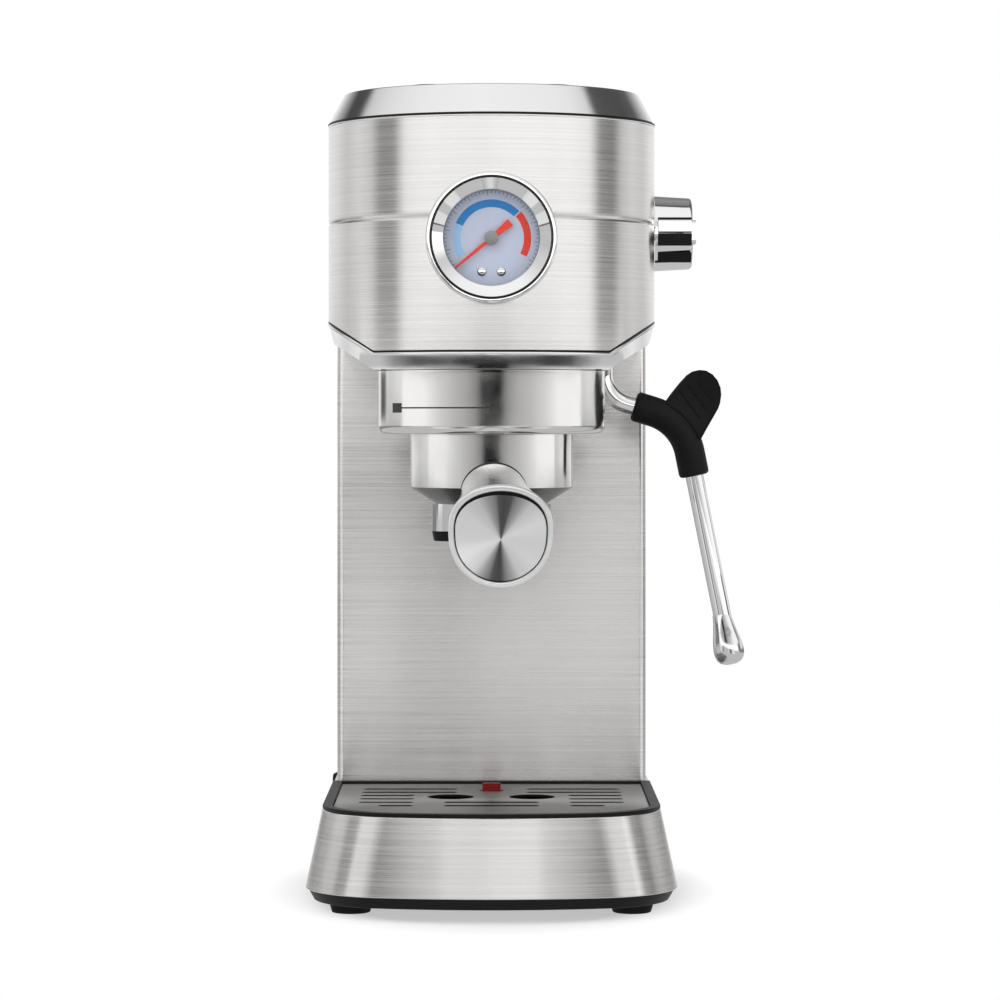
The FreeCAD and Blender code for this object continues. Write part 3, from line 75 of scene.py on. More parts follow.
def at(x, y, z):
    """Give a place from millimetres about the brew axis, with z from the counter."""
    return Vector((BREW.x + x * MM, BREW.y + y * MM, z * MM))


def span(node):
    """Give a solid's lowest and highest corners in the same millimetres."""
    return [(corner - at(0, 0, 0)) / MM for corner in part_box(node)]


# The handle's axis slopes down to the front and stands a little aside
HANDLE_HEIGHT = 168.0
HANDLE_SLOPE = math.radians(6.5)
HANDLE_SWING = math.radians(1.25)
DISC_FACE = 154.6


def handle_place(distance, aside, over):
    """Give a place from millimetres along the sloping handle, across it and above its axis."""
    lean = Matrix.Rotation(HANDLE_SWING, 3, "Z") @ Matrix.Rotation(HANDLE_SLOPE, 3, "X")
    return at(0, 0, HANDLE_HEIGHT) + lean @ Vector((aside, -distance, over)) * MM


def linear(hex_colour):
    """Turn an sRGB hex colour into linear red, green, blue and alpha."""
    values = [int(hex_colour[i:i + 2], 16) / 255 for i in (1, 3, 5)]
    return [v / 12.92 if v <= 0.04045 else ((v + 0.055) / 1.055) ** 2.4 for v in values] + [1.0]


def add(tree, kind, inputs=None, **settings):
    """Add a node with its settings; an input is a value or another node's output socket."""
    item = tree.nodes.new(kind)
    for name, value in settings.items():
        setattr(item, name, value)
    for key, value in (inputs or {}).items():
        if isinstance(value, bpy.types.NodeSocket):
            tree.links.new(value, item.inputs[key])
        else:
            item.inputs[key].default_value = value
    return item


def start_material(name, colour, metallic, roughness, **sockets):
    """Start a material on one principled shader and give its tree and shader."""
    material = bpy.data.materials.new(name)
    material.use_nodes = True
    tree = material.node_tree
    shader = tree.nodes["Principled BSDF"]
    shader.inputs["Base Color"].default_value = colour
    shader.inputs["Metallic"].default_value = metallic
    shader.inputs["Roughness"].default_value = roughness
    for key, value in sockets.items():
        shader.inputs[key.replace("_", " ")].default_value = value
    return material, tree, shader


def ramp(tree, factor, low, high, start=0.0, end=1.0):
    """Map a factor linearly from one span to another."""
    return add(tree, "ShaderNodeMapRange", {0: factor, 1: start, 2: end, 3: low, 4: high}).outputs[0]


def mottle(tree, factor, colour, depth):
    """Mix a colour with its darker shade, which is a share of it, by a factor."""
    shade = [value * depth for value in colour[:3]] + [1.0]
    return add(tree, "ShaderNodeMix", {0: factor, 6: shade, 7: colour}, data_type="RGBA").outputs[2]


def noise(tree, sizes_mm, detail=2.0):
    """Add noise on object coordinates, with a grain size in millimetres on each axis."""
    place = add(tree, "ShaderNodeTexCoord").outputs["Object"]
    scale = [1 / (size * MM) for size in sizes_mm]
    mapped = add(tree, "ShaderNodeMapping", {"Vector": place, "Scale": scale}).outputs[0]
    return add(tree, "ShaderNodeTexNoise", {"Vector": mapped, "Scale": 1.0, "Detail": detail}).outputs["Fac"]


def tone_ramp(tree, share, stops):
    """Give a grey for a share of half a turn, from stops of degrees and brightness."""
    item = add(tree, "ShaderNodeValToRGB", {0: share})
    elements = item.color_ramp.elements
    while len(elements) < len(stops):
        elements.new(0.5)
    for element, (degrees, level) in zip(elements, stops):
        element.position = degrees / 180
        element.color = (level, level, level, 1.0)
    return item.outputs[0]


def front_angle(tree, arm, offset=0.0):
    """Give the angle of a direction from the front, either way, as a share of half a turn."""
    parts = add(tree, "ShaderNodeSeparateXYZ", {0: arm}).outputs
    ahead = add(tree, "ShaderNodeMath", {0: parts[1], 1: -1.0}, operation="MULTIPLY").outputs[0]
    turn = add(tree, "ShaderNodeMath", {0: parts[0], 1: ahead}, operation="ARCTAN2").outputs[0]
    turn = add(tree, "ShaderNodeMath", {0: turn, 1: math.radians(offset)}, operation="SUBTRACT").outputs[0]
    turn = add(tree, "ShaderNodeMath", {0: turn}, operation="ABSOLUTE").outputs[0]
    return add(tree, "ShaderNodeMath", {0: turn, 1: math.pi}, operation="DIVIDE").outputs[0]


def brushed_stainless(name, colour, depth, roughness, streak_mm):
    """Stainless sheet, belt-brushed level: short streaks, drawn coarser than real so that they show."""
    material, tree, shader = start_material(
        name, colour, 1.0, roughness, Anisotropic=0.9, Anisotropic_Rotation=0.25)
    fine = noise(tree, (66.7, 66.7, streak_mm), 3.0)
    long = noise(tree, (250.0, 250.0, 2.4 * streak_mm), 2.0)
    both = add(tree, "ShaderNodeMix", {0: 0.35, 2: fine, 3: long}).outputs[0]
    tone = ramp(tree, both, 0.0, 1.0, 0.35, 0.65)
    tree.links.new(mottle(tree, tone, colour, depth), shader.inputs["Base Color"])
    worn = ramp(tree, fine, roughness - 0.03, roughness + 0.04, 0.3, 0.7)
    tree.links.new(worn, shader.inputs["Roughness"])
    tangent = add(tree, "ShaderNodeTangent", direction_type="RADIAL", axis="Z")
    tree.links.new(tangent.outputs[0], shader.inputs["Tangent"])
    relief = add(tree, "ShaderNodeBump", {"Strength": 0.05, "Distance": 0.02 * MM, "Height": fine})
    tree.links.new(relief.outputs[0], shader.inputs["Normal"])
    return material


def polished(name, colour, roughness):
    """Plated or buffed metal: a clean mirror with a faint haze that varies over the surface."""
    material, tree, shader = start_material(name, colour, 1.0, roughness)
    haze = noise(tree, (16.7, 16.7, 16.7), 3.0)
    worn = ramp(tree, haze, roughness * 0.7, roughness * 1.5, 0.3, 0.7)
    tree.links.new(worn, shader.inputs["Roughness"])
    return material


def spun_disc():
    """Aluminium disc, spun on a lathe: fine rings fan the light out in wedges; these wedges of light and
    shade are painted into its colour.
    """
    material, tree, shader = start_material(
        "spun_aluminium_painted_shade", linear("#ffffff"), 1.0, 0.3, Anisotropic=0.9, Anisotropic_Rotation=0.25)
    tangent = add(tree, "ShaderNodeTangent", direction_type="RADIAL", axis="Y")
    tree.links.new(tangent.outputs[0], shader.inputs["Tangent"])
    place = add(tree, "ShaderNodeTexCoord").outputs["Object"]
    centre = handle_place(DISC_FACE, 0, -1.0)
    arm = add(tree, "ShaderNodeVectorMath", {0: place, 1: centre}, operation="SUBTRACT").outputs[0]
    flat = add(tree, "ShaderNodeMapping", {"Vector": arm, "Rotation": (math.pi / 2, 0, 0)}).outputs[0]
    # Painted light and shade: dark wedges above and below the middle, light at the sides, set in the base
    # colour
    painted_wedge_shade = tone_ramp(tree, front_angle(tree, flat, 6.0), (
        (0, 0.1), (9, 0.13), (14, 0.3), (25, 0.5), (36, 0.78), (60, 0.93), (120, 0.93), (146, 0.78),
        (156, 0.48), (166, 0.28), (172, 0.12), (180, 0.09)))
    tree.links.new(painted_wedge_shade, shader.inputs["Base Color"])
    return material


def moulded(name, colour, depth, roughness, grain_mm=0.5, bump=0.12):
    """Moulded plastic or rubber: one colour with a fine spark-eroded grain."""
    material, tree, shader = start_material(name, colour, 0.0, roughness, Specular_IOR_Level=0.22)
    grain = noise(tree, (grain_mm, grain_mm, grain_mm), 2.0)
    patch = noise(tree, (28.6, 28.6, 28.6), 3.0)
    tree.links.new(mottle(tree, patch, colour, depth), shader.inputs["Base Color"])
    worn = ramp(tree, grain, roughness - 0.06, roughness + 0.08, 0.3, 0.7)
    tree.links.new(worn, shader.inputs["Roughness"])
    relief = add(tree, "ShaderNodeBump", {"Strength": bump, "Distance": 0.1 * MM, "Height": grain})
    tree.links.new(relief.outputs[0], shader.inputs["Normal"])
    return material


def printed(name, colour, depth):
    """Ink or enamel on metal: flat colour with the faint mottle of a screen print."""
    material, tree, shader = start_material(name, colour, 0.0, 0.45, Specular_IOR_Level=0.15)
    speck = noise(tree, (2.5, 2.5, 2.5), 2.0)
    tree.links.new(mottle(tree, speck, colour, depth), shader.inputs["Base Color"])
    return material


def clear_lens():
    """Flat gauge glass: see-through, with only a faint sheen on its face."""
    return start_material("gauge_glass", linear("#ffffff"), 0.0, 0.03, Alpha=0.012)[0]


def smoked_tank():
    """Smoked clear plastic: you can see into the tank, with faint upright clouds in the wall."""
    colour = linear("#7d8488")
    material, tree, shader = start_material("smoked_clear_plastic", colour, 0.0, 0.12, Alpha=0.45)
    haze = noise(tree, (40.0, 40.0, 125.0), 2.0)
    tree.links.new(mottle(tree, haze, colour, 0.52), shader.inputs["Base Color"])
    return material


FINISHES = {}


def make_finishes(looks):
    """Make each finish once."""
    steel = list(looks.steel)
    streak_mm = looks.streak / MM
    FINISHES.update({
        # Belt-brushed stainless sheet: level streaks, and highlights spread upright
        "brushed": brushed_stainless("brushed_stainless", steel, 0.825, 0.24, streak_mm),
        # The same sheet on the grate: darker, with duller highlights
        "grate": brushed_stainless("brushed_grate", linear("#a2a1a0"), 0.703, 0.36, streak_mm),
        # Finely turned stainless: a mirror with soft edges to its reflections
        "satin": polished("satin_stainless", linear("#e2e1df"), 0.13),
        # Chrome plate: a sharp, neutral mirror
        "chrome": polished("polished_chrome", linear("#e8e8e8"), 0.05),
        # Buffed aluminium: bright, a little softer than chrome
        "bright": polished("buffed_aluminium", linear("#e2e2e3"), 0.1),
        # Spun aluminium of the handle's disc, with its wedges of light and shade painted into its colour
        "spun": spun_disc(),
        # Blasted bright metal of the handle's rim: near white, no clear reflection
        "rim": polished("satin_rim", linear("#fafafa"), 0.42),
        # Steel of the bowl's cone with painted shade: darker, as it turns down and away from the light
        "foot": polished("shaded_steel", linear("#77777a"), 0.2),
        # Spark-eroded black plastic: dull highlights
        "black": moulded("black_moulded_plastic", linear("#0b0b0b"), 0.634, 0.42),
        # Moulded rubber: the dullest black
        "rubber": moulded("black_rubber", linear("#131313"), 0.565, 0.7, 0.8, 0.2),
        # Soft-touch plastic of the wand's grip: an even, deep black
        "grip": moulded("black_soft_grip", list(looks.grip), 0.6, 0.48, 0.35, 0.2),
        # Through-dyed red plastic of the float: deep colour, some gloss
        "red": moulded("red_moulded_plastic", list(looks.float_tab), 0.68, 0.32),
        # Enamelled dial and its screen-printed inks: flat colours, hardly any gloss
        "dial": printed("dial_enamel", list(looks.dial), 0.937),
        "blue": printed("blue_ink", linear("#1c82ce"), 0.88),
        "pale": printed("pale_blue_ink", linear("#a0c8f0"), 0.9),
        "scarlet": printed("scarlet_ink", linear("#e83a22"), 0.93),
        "ink": printed("grey_dial_ink", linear("#666b76"), 0.71),
        "mark": printed("dark_grey_ink", linear("#4a4846"), 0.66),
        "lens": clear_lens(),
        "tank": smoked_tank(),
        # Die-cast aluminium: grey, with a broad soft sheen
        "cast": polished("cast_aluminium", linear("#9a9b9d"), 0.45),
        # Turned brass fittings and drawn copper pipe: warm, softly shining
        "brass": polished("turned_brass", linear("#c3a255"), 0.25),
        "copper": polished("drawn_copper", linear("#b87a52"), 0.28),
        # Lacquered glass-fibre board: dark green with some gloss
        "board": moulded("lacquered_board", linear("#14502b"), 0.6, 0.35),
    })


def shade_by_angle(bm, degrees):
    """Shade smooth across soft edges and keep sharp ones."""
    for face in bm.faces:
        face.smooth = True
    for edge in bm.edges:
        edge.smooth = edge.is_manifold and edge.calc_face_angle(0.0) < math.radians(degrees)


def soften(piece, width_mm, degrees=30):
    """Round a piece's sharp edges a little."""
    edge = piece.modifiers.new("soft_edges", "BEVEL")
    edge.width = width_mm * MM
    edge.segments = 3
    edge.limit_method = "ANGLE"
    edge.angle_limit = math.radians(degrees)
    edge.harden_normals = True


def thicken(piece, wall_mm):
    """Give a sheet its wall, inwards from its face."""
    wall = piece.modifiers.new("wall", "SOLIDIFY")
    wall.thickness = wall_mm * MM
    wall.offset = -1.0


def finish(name, bm, finish_name, body, stands_for=(), bevel_mm=0.0, degrees=30):
    """Make a piece from a bmesh, with its finish, its body and the solids that it stands for."""
    shade_by_angle(bm, degrees)
    mesh = bpy.data.meshes.new(name)
    bm.to_mesh(mesh)
    bm.free()
    mesh.materials.append(FINISHES[finish_name])
    piece = bpy.data.objects.new(name, mesh)
    bpy.context.scene.collection.objects.link(piece)
    if bevel_mm:
        soften(piece, bevel_mm, degrees)
    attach(piece, body)
    if stands_for:
        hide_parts(*stands_for)
    return piece


def body_of(node):
    """Give the body that carries a solid."""
    bodies = frame["record"]["behaviour"]["bodies"]
    return next(body for body, members in bodies.items() if node in members)


def dress(node, finish_name, bevel_mm=0.0):
    """Make a solid's finished piece: its welded shape with soft edges."""
    bm = bmesh.new()
    bm.from_mesh(frame["nodes"][node].data)
    bmesh.ops.remove_doubles(bm, verts=bm.verts, dist=0.002 * MM)
    bmesh.ops.dissolve_limit(bm, angle_limit=math.radians(0.5), verts=bm.verts, edges=bm.edges)
    return finish(f"{node}_look", bm, finish_name, body_of(node), (node,), bevel_mm)


def paint(node, finish_name):
    """Give a solid that stays as it is its finish."""
    slots = frame["nodes"][node].data.materials
    slots.clear()
    slots.append(FINISHES[finish_name])


def turned(profile, centre, axis, first, steps=128):
    """Spin a closed profile of (radius, height) millimetres about an axis through a place."""
    bm = bmesh.new()
    axis = axis.normalized()
    ring = [bm.verts.new(centre + first * (r * MM) + axis * (h * MM)) for r, h in profile]
    edges = [bm.edges.new((ring[i - 1], ring[i])) for i in range(len(ring))]
    bmesh.ops.spin(
        bm, geom=ring + edges, cent=centre, axis=axis, angle=2 * math.pi, steps=steps, use_merge=True)
    bmesh.ops.remove_doubles(bm, verts=bm.verts, dist=0.002 * MM)
    bmesh.ops.recalc_face_normals(bm, faces=bm.faces)
    return bm


def spun_sheet(bm, ends, centre, axis, degrees, steps):
    """Spin an edge between two places part of a turn about an axis; its faces point away from the centre."""
    verts = [bm.verts.new(place) for place in ends]
    edge = bm.edges.new(verts)
    before = set(bm.faces)
    turn = math.radians(degrees)
    bmesh.ops.spin(bm, geom=verts + [edge], cent=centre, axis=axis, angle=turn, steps=steps, use_merge=False)
    made = [face for face in bm.faces if face not in before]
    if made[0].normal.dot(made[0].calc_center_median() - centre) < 0:
        bmesh.ops.reverse_faces(bm, faces=made)


def strip(bm, radius, start, end, low, high):
    """Add an upright strip round the brew axis, from degrees right of the front and two heights."""
    turn = math.radians(start)
    ends = [at(radius * math.sin(turn), -radius * math.cos(turn), z) for z in (low, high)]
    spun_sheet(bm, ends, at(0, 0, 0), UP, end - start, max(2, int(abs(end - start))))


def arc(centre, radius, start, end, count):
    """Give points on an arc of an outline, in degrees."""
    turns = [math.radians(start + (end - start) * i / count) for i in range(count + 1)]
    return [(centre[0] + radius * math.cos(t), centre[1] + radius * math.sin(t)) for t in turns]


def half_round(radius, rear, steps=150, straight=30):
    """Give plan points of a half-round wall with straight sides, from right rear to left rear."""
    side = [(radius, rear * (1 - i / straight)) for i in range(straight)]
    return side + arc((0, 0), radius, 0, -180, steps) + [(-x, y) for x, y in reversed(side)]


def bridged(bm, rows, closed):
    """Bridge rows of places, as closed rings or open chains, into a sheet and give the rows' edges."""
    chains = []
    for row in rows:
        verts = [bm.verts.new(place) for place in row]
        onward = verts[1:] + verts[:1] if closed else verts[1:]
        chains.append([bm.edges.new(pair) for pair in zip(verts, onward)])
    for near, far in zip(chains, chains[1:]):
        bmesh.ops.bridge_loops(bm, edges=near + far)
    return chains


def skin(rings):
    """Bridge rings of places into a closed skin."""
    bm = bmesh.new()
    chains = bridged(bm, rings, True)
    bmesh.ops.holes_fill(bm, edges=chains[0] + chains[-1], sides=0)
    bmesh.ops.recalc_face_normals(bm, faces=bm.faces)
    return bm


def sweep(points, radii, steps=40):
    """Skin a tube through places, with a radius in millimetres at each."""
    rings = []
    across = None
    turns = [2 * math.pi * k / steps for k in range(steps)]
    for i, (place, radius) in enumerate(zip(points, radii)):
        along = (points[min(i + 1, len(points) - 1)] - points[max(i - 1, 0)]).normalized()
        across = across - along * across.dot(along) if across else along.orthogonal()
        across.normalize()
        other = along.cross(across)
        rings.append([place + (across * math.cos(t) + other * math.sin(t)) * radius * MM for t in turns])
    return skin(rings)


def bent(corners, bends_mm, count=24):
    """Round each inner corner of a path of places by its bend radius."""
    path = [corners[0]]
    for before, corner, after, radius in zip(corners, corners[1:], corners[2:], bends_mm):
        back, onward = (before - corner).normalized(), (after - corner).normalized()
        half = back.angle(onward) / 2
        centre = corner + (back + onward).normalized() * (radius * MM / math.sin(half))
        reach = radius * MM / math.tan(half)
        start, end = corner + back * reach - centre, corner + onward * reach - centre
        turn = start.angle(end)
        shares = [(math.sin(turn * (1 - i / count)), math.sin(turn * i / count)) for i in range(count + 1)]
        path += [centre + (start * a + end * b) / math.sin(turn) for a, b in shares]
    return path + [corners[-1]]


def soft_ends(path, radius, ease):
    """Give a path's places and radii with both ends rounded off by millimetres."""
    turns = [math.radians(18 * i) for i in range(6)]
    ends = []
    for tip, beside in ((path[0], path[1]), (path[-1], path[-2])):
        inward = (beside - tip).normalized() * ease * MM
        ends.append([(tip + inward * (1 - math.cos(t)), radius - ease * (1 - math.sin(t))) for t in turns])
    rows = ends[0] + [(place, radius) for place in path[1:-1]] + ends[1][::-1]
    return [place for place, size in rows], [size for place, size in rows]


def build_head(edge_mm):
    """Make the brushed wrap of the head on a fine grid, open behind the gauge, with raked lower corners."""
    low, high = span("head_shell")
    radius, rear, foot, top = -low.y, high.y, low.z, high.z
    flat, rake, seam, hole_radius = 46.0, 12.7, 271.1, 23.2
    levels = [(radius, foot + (seam - 0.8 - foot) * i / 40) for i in range(41)]
    levels += [(radius - 0.2, seam - 0.5), (radius - 0.5, seam), (radius - 0.2, seam + 0.5)]
    levels += [(radius, seam + 1.2 + (top - seam - 1.2) * i / 30) for i in range(31)]
    bm = bmesh.new()
    bridged(bm, [[at(x, y, z) for x, y in half_round(r, rear)] for r, z in levels], False)
    hole = [v for v in bm.verts if v.co.y < BREW.y
            and math.hypot(v.co.x - DIAL.x, v.co.z - DIAL.z) < hole_radius * MM]
    bmesh.ops.delete(bm, geom=hole, context="VERTS")
    for side in (1, -1):
        slope = Vector((side * rake, 0, flat - radius))
        everything = bm.verts[:] + bm.edges[:] + bm.faces[:]
        corner = at(side * flat, 0, foot)
        bmesh.ops.bisect_plane(
            bm, geom=everything, plane_co=corner, plane_no=slope, clear_outer=True, dist=0.001 * MM)
    bmesh.ops.recalc_face_normals(bm, faces=bm.faces)
    inside = at(0, 40, 265)
    if sum(face.normal.dot(face.calc_center_median() - inside) for face in bm.faces) < 0:
        bmesh.ops.reverse_faces(bm, faces=bm.faces)
    piece = finish("head_wrap", bm, "brushed", "machine", ("head_shell",))
    thicken(piece, 1.5)
    soften(piece, edge_mm)
    plan = half_round(radius - 0.3, 60.0)
    low_edge = [at(x, y, foot + max(0.0, abs(x) - flat) * rake / (radius - flat)) for x, y in plan]
    top_edge = [at(x, y, top) for x, y in plan]
    # The black tubes along the edges are painted shade standing in for the shadow in the joints; the chrome
    # tubes are rolled edges
    for name, edge, lift, size, finish_name, slot in (
        ("low_roll", low_edge, -0.9, 0.75, "chrome", "polished_chrome"),
        ("low_shadow_gap", low_edge, 0.1, 0.5, "black", "black_plastic"),
        ("top_shadow_gap", top_edge, 0.0, 0.55, "black", "black_plastic"),
        ("top_roll", top_edge, -0.7, 0.5, "chrome", "polished_chrome"),
    ):
        bm = sweep([place + UP * lift * MM for place in edge], [size] * len(edge), 16)
        finish(name, bm, finish_name, "machine", degrees=60)
    dress("head_collar", "chrome", edge_mm)
    dress("top_cover", "bright", edge_mm)
    dress("cup_warmer_plate", "brushed", edge_mm)


def build_group(edge_mm):
    """Make the trim ring round the group, with the line that shows where the holder locks."""
    low, high = span("group_ring")
    outer, foot, top = -low.y, low.z, high.z - 0.1
    wall, corner = 3.4, 3.5
    rim = [(outer - wall, top), (outer - wall, foot + 1.4), (outer - 2.8, foot + 0.2)]
    rim += arc((outer - corner, foot + corner), corner, -75, 0, 10) + [(outer, top)]
    bm = turned(rim, at(0, 0, 0), UP, RIGHT)
    finish("ring_trim", bm, "satin", "machine", ("group_ring",), 0.2)
    bm = bmesh.new()
    line, ink_lift = 197.5, 0.06
    for start, end, half in ((-52, 0, 0.3), (-59, -51, 1.9), (-1.0, 0.6, 1.1)):
        strip(bm, outer + ink_lift, start, end, line - half, line + half)
    finish("lock_line", bm, "mark", "machine")
    for node, finish_name in (
        ("brew_group", "cast"), ("group_gasket", "rubber"), ("shower_screen", "satin"),
        ("screen_screw", "satin"), ("thermoblock", "cast"), ("pump_mount", "rubber"), ("pump", "black"),
        ("feed_hose", "rubber"), ("pressure_pipe", "copper"), ("control_board", "board"),
        ("button_board", "board"), ("gauge_movement", "brass"), ("gauge_pipe", "copper"),
        ("steam_valve", "brass"), ("steam_pipe", "copper"),
    ):
        paint(node, finish_name)


def egg(turn, wide, tall, lean):
    """Give a point on the handle's egg-shaped section, wider above the middle."""
    x = wide * math.sin(turn) * (1 + lean * math.cos(turn))
    z = tall * math.copysign(abs(math.cos(turn)) ** (0.92 - lean), math.cos(turn))
    return x, z


def rings_along(rows, lift=0.0, steps=96):
    """Skin egg sections along the handle: each row is the distance, half width, half height and lean."""
    rings = []
    for distance, wide, tall, lean in rows:
        section = [egg(2 * math.pi * i / steps, wide, tall, lean) for i in range(steps)]
        rings.append([handle_place(distance, x, z + lift) for x, z in section])
    return skin(rings)


def build_holder(edge_mm):
    """Make the filter holder: its bowl, the tapered metal handle and the spun disc in the handle's end."""
    bowl = dress("portafilter_body", "satin", edge_mm)
    bowl.data.materials.append(FINISHES["foot"])
    # Painted shade: the downward faces of the bowl's cone take the darker copy of its steel
    cone_top = 168.0
    for face in bowl.data.polygons:
        if face.normal.z < -0.3 and face.center.z < cone_top * MM:
            face.material_index = 1
    dress("filter_basket", "satin", edge_mm)
    dress("twin_spout", "chrome", edge_mm)
    dress("spout_tips", "black", edge_mm)
    bm = bmesh.new()
    strip(bm, 33.1, -31, 31, 166.4, 187.0)
    front = finish("holder_front", bm, "satin", "portafilter")
    thicken(front, 0.5)
    soften(front, 0.15)
    build_handle()


def build_handle():
    """Make the handle: a flared egg-shaped grip on a black seat, with a rim round a spun disc at its end."""
    seat = [(43.4, 13.0), (43.5, 13.3), (44.4, 13.3), (44.5, 13.0)]
    bm = rings_along([(distance, half, half, 0.0) for distance, half in seat])
    finish("handle_seat", bm, "black", "portafilter")
    root = [(37.0, 8.6), (39.6, 9.3), (41.6, 10.6), (43.0, 12.3), (44.6, 12.9), (46.0, 13.2)]
    rows = [(distance, half, half, 0.0) for distance, half in root]
    start, thin = root[-1]
    length, flare, lean, sections = 106.0, 5.6, 0.1, 24
    for i in range(1, sections + 1):
        share = i / sections
        half = thin + flare * share ** 1.5
        rows.append((start + length * share, half * (1 - 0.01 * share), half, lean * share))
    finish("handle_grip", rings_along(rows), "bright", "portafilter", ("portafilter_handle",), degrees=40)
    rim = [(152.0, 18.2, 18.3), (152.3, 18.8, 18.9), (153.4, 18.9, 19.0), (154.4, 18.8, 18.8),
           (154.9, 18.5, 18.4), (155.1, 17.9, 17.7), (154.9, 17.2, 16.9), (154.4, 16.9, 16.6),
           (153.6, 16.8, 16.5)]
    bm = rings_along([row + (lean,) for row in rim])
    finish("handle_rim", bm, "rim", "portafilter", ("handle_cap",), degrees=60)
    bm = rings_along([(153.5, 17.2, 16.9, lean), (153.9, 17.2, 16.9, lean)])
    finish("handle_liner", bm, "black", "portafilter")
    disc = [(153.8, 16.4, 15.7), (154.5, 16.4, 15.7), (154.7, 16.2, 15.5), (DISC_FACE, 15.8, 15.1)]
    bm = rings_along([row + (0.12,) for row in disc], -0.5)
    finish("handle_disc", bm, "spun", "portafilter")


def on_dial(radius, degrees, lift_mm):
    """Give a place on the dial from millimetres and degrees anticlockwise from the right."""
    turn = math.radians(degrees)
    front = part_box("gauge_dial")[0].y - lift_mm * MM
    return Vector((DIAL.x + radius * MM * math.cos(turn), front, DIAL.z + radius * MM * math.sin(turn)))


def band(bm, inner, outer, start, end, lift_mm=0.06):
    """Add a flat band of ink on the dial between two radii and two angles."""
    ends = [on_dial(radius, start, lift_mm) for radius in (inner, outer)]
    spun_sheet(bm, ends, DIAL, FRONT, end - start, max(1, int(abs(end - start) / 3)))


def build_gauge(edge_mm):
    """Make the pressure gauge: bright trim, printed dial, needle and glass."""
    dress("gauge_trim", "chrome", 0.25)
    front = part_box("gauge_trim")[0].y
    # Painted shade: a black ring in the trim's face stands in for the shade of its groove
    groove = [(23.3, -0.3), (23.9, -0.3), (23.9, 0.3), (23.3, 0.3)]
    bm = turned(groove, Vector((DIAL.x, front + 0.25 * MM, DIAL.z)), FRONT, RIGHT)
    finish("trim_groove", bm, "black", "machine")
    dress("gauge_case", "black", edge_mm)
    dress("gauge_dial", "dial")
    print_radius = 18.7
    ticks = [(0.93 if i % 5 else 0.88, 0.98, a + 0.35, a - 0.35) for i, a in enumerate(range(220, -45, -5))]
    for name, finish_name, bands in (
        ("blue_arc", "blue", [(0.64, 0.80, 157, 44)]),
        ("pale_arc", "pale", [(0.64, 0.80, 211, 157)]),
        ("red_arc", "scarlet", [(0.67, 0.82, 42, -28)]),
        ("dial_ticks", "ink", ticks + [(0.985, 0.992, 225, -45)]),
    ):
        bm = bmesh.new()
        for inner, outer, start, end in bands:
            band(bm, inner * print_radius, outer * print_radius, start, end)
        finish(name, bm, finish_name, "machine")
    dome = [(0.0, 0.0), (1.7, 0.0), (1.7, 0.35), (1.3, 0.7), (0.7, 0.85), (0.0, 0.9)]
    for name, side in (("left", -1), ("right", 1)):
        bm = turned(dome, on_dial(0.72 * print_radius, 270 + side * 16.2, 0.0), FRONT, RIGHT, 32)
        finish(f"dial_screw_{name}", bm, "chrome", "machine")
    dress("gauge_needle", "scarlet", 0.08)
    cap = [(0.0, 0.0), (2.7, 0.0), (2.7, 0.35), (2.2, 0.6), (1.1, 0.65), (1.0, 1.0), (0.0, 1.05)]
    bm = turned(cap, on_dial(0, 0, 2.2), FRONT, RIGHT, 48)
    finish("needle_hub", bm, "cast", "needle")
    dress("gauge_lens", "lens")


def build_knob():
    """Make the steam knob with its raised bar, a black line along the bar's top edge and black pieces that
    paint the shade in its recesses, as sections across it from its middle.
    """
    dress("steam_knob", "chrome", 0.6)
    knob = middle("steam_knob")
    for name, finish_name, slot, section in (
        ("knob_bar", "chrome", "polished_chrome",
         ((-12.0, 5.2), (-15.9, 5.0), (-16.3, 4.4), (-16.4, 0.2), (-15.6, -0.4), (-12.0, -0.6))),
        # Painted shade: the black pieces in the recesses stand in for the shade deep in them
        ("knob_recess_shade", "black", "black_plastic",
         ((-12.0, -0.5), (-15.9, -0.5), (-15.2, -5.5), (-12.0, -5.5))),
        ("knob_lower_recess_shade", "black", "black_plastic",
         ((-8.0, -8.3), (-13.4, -8.1), (-10.0, -12.1), (-8.0, -12.1))),
        ("knob_line", "black", "black_plastic", ((-12.0, 5.1), (-14.9, 5.1), (-14.6, 6.0), (-12.0, 6.0))),
    ):
        bm = skin([[knob + Vector((x, y, z)) * MM for y, z in section] for x in (-7.2, 6.6)])
        finish(name, bm, finish_name, "knob", bevel_mm=0.3, degrees=25)
    paint("knob_shaft", "satin")


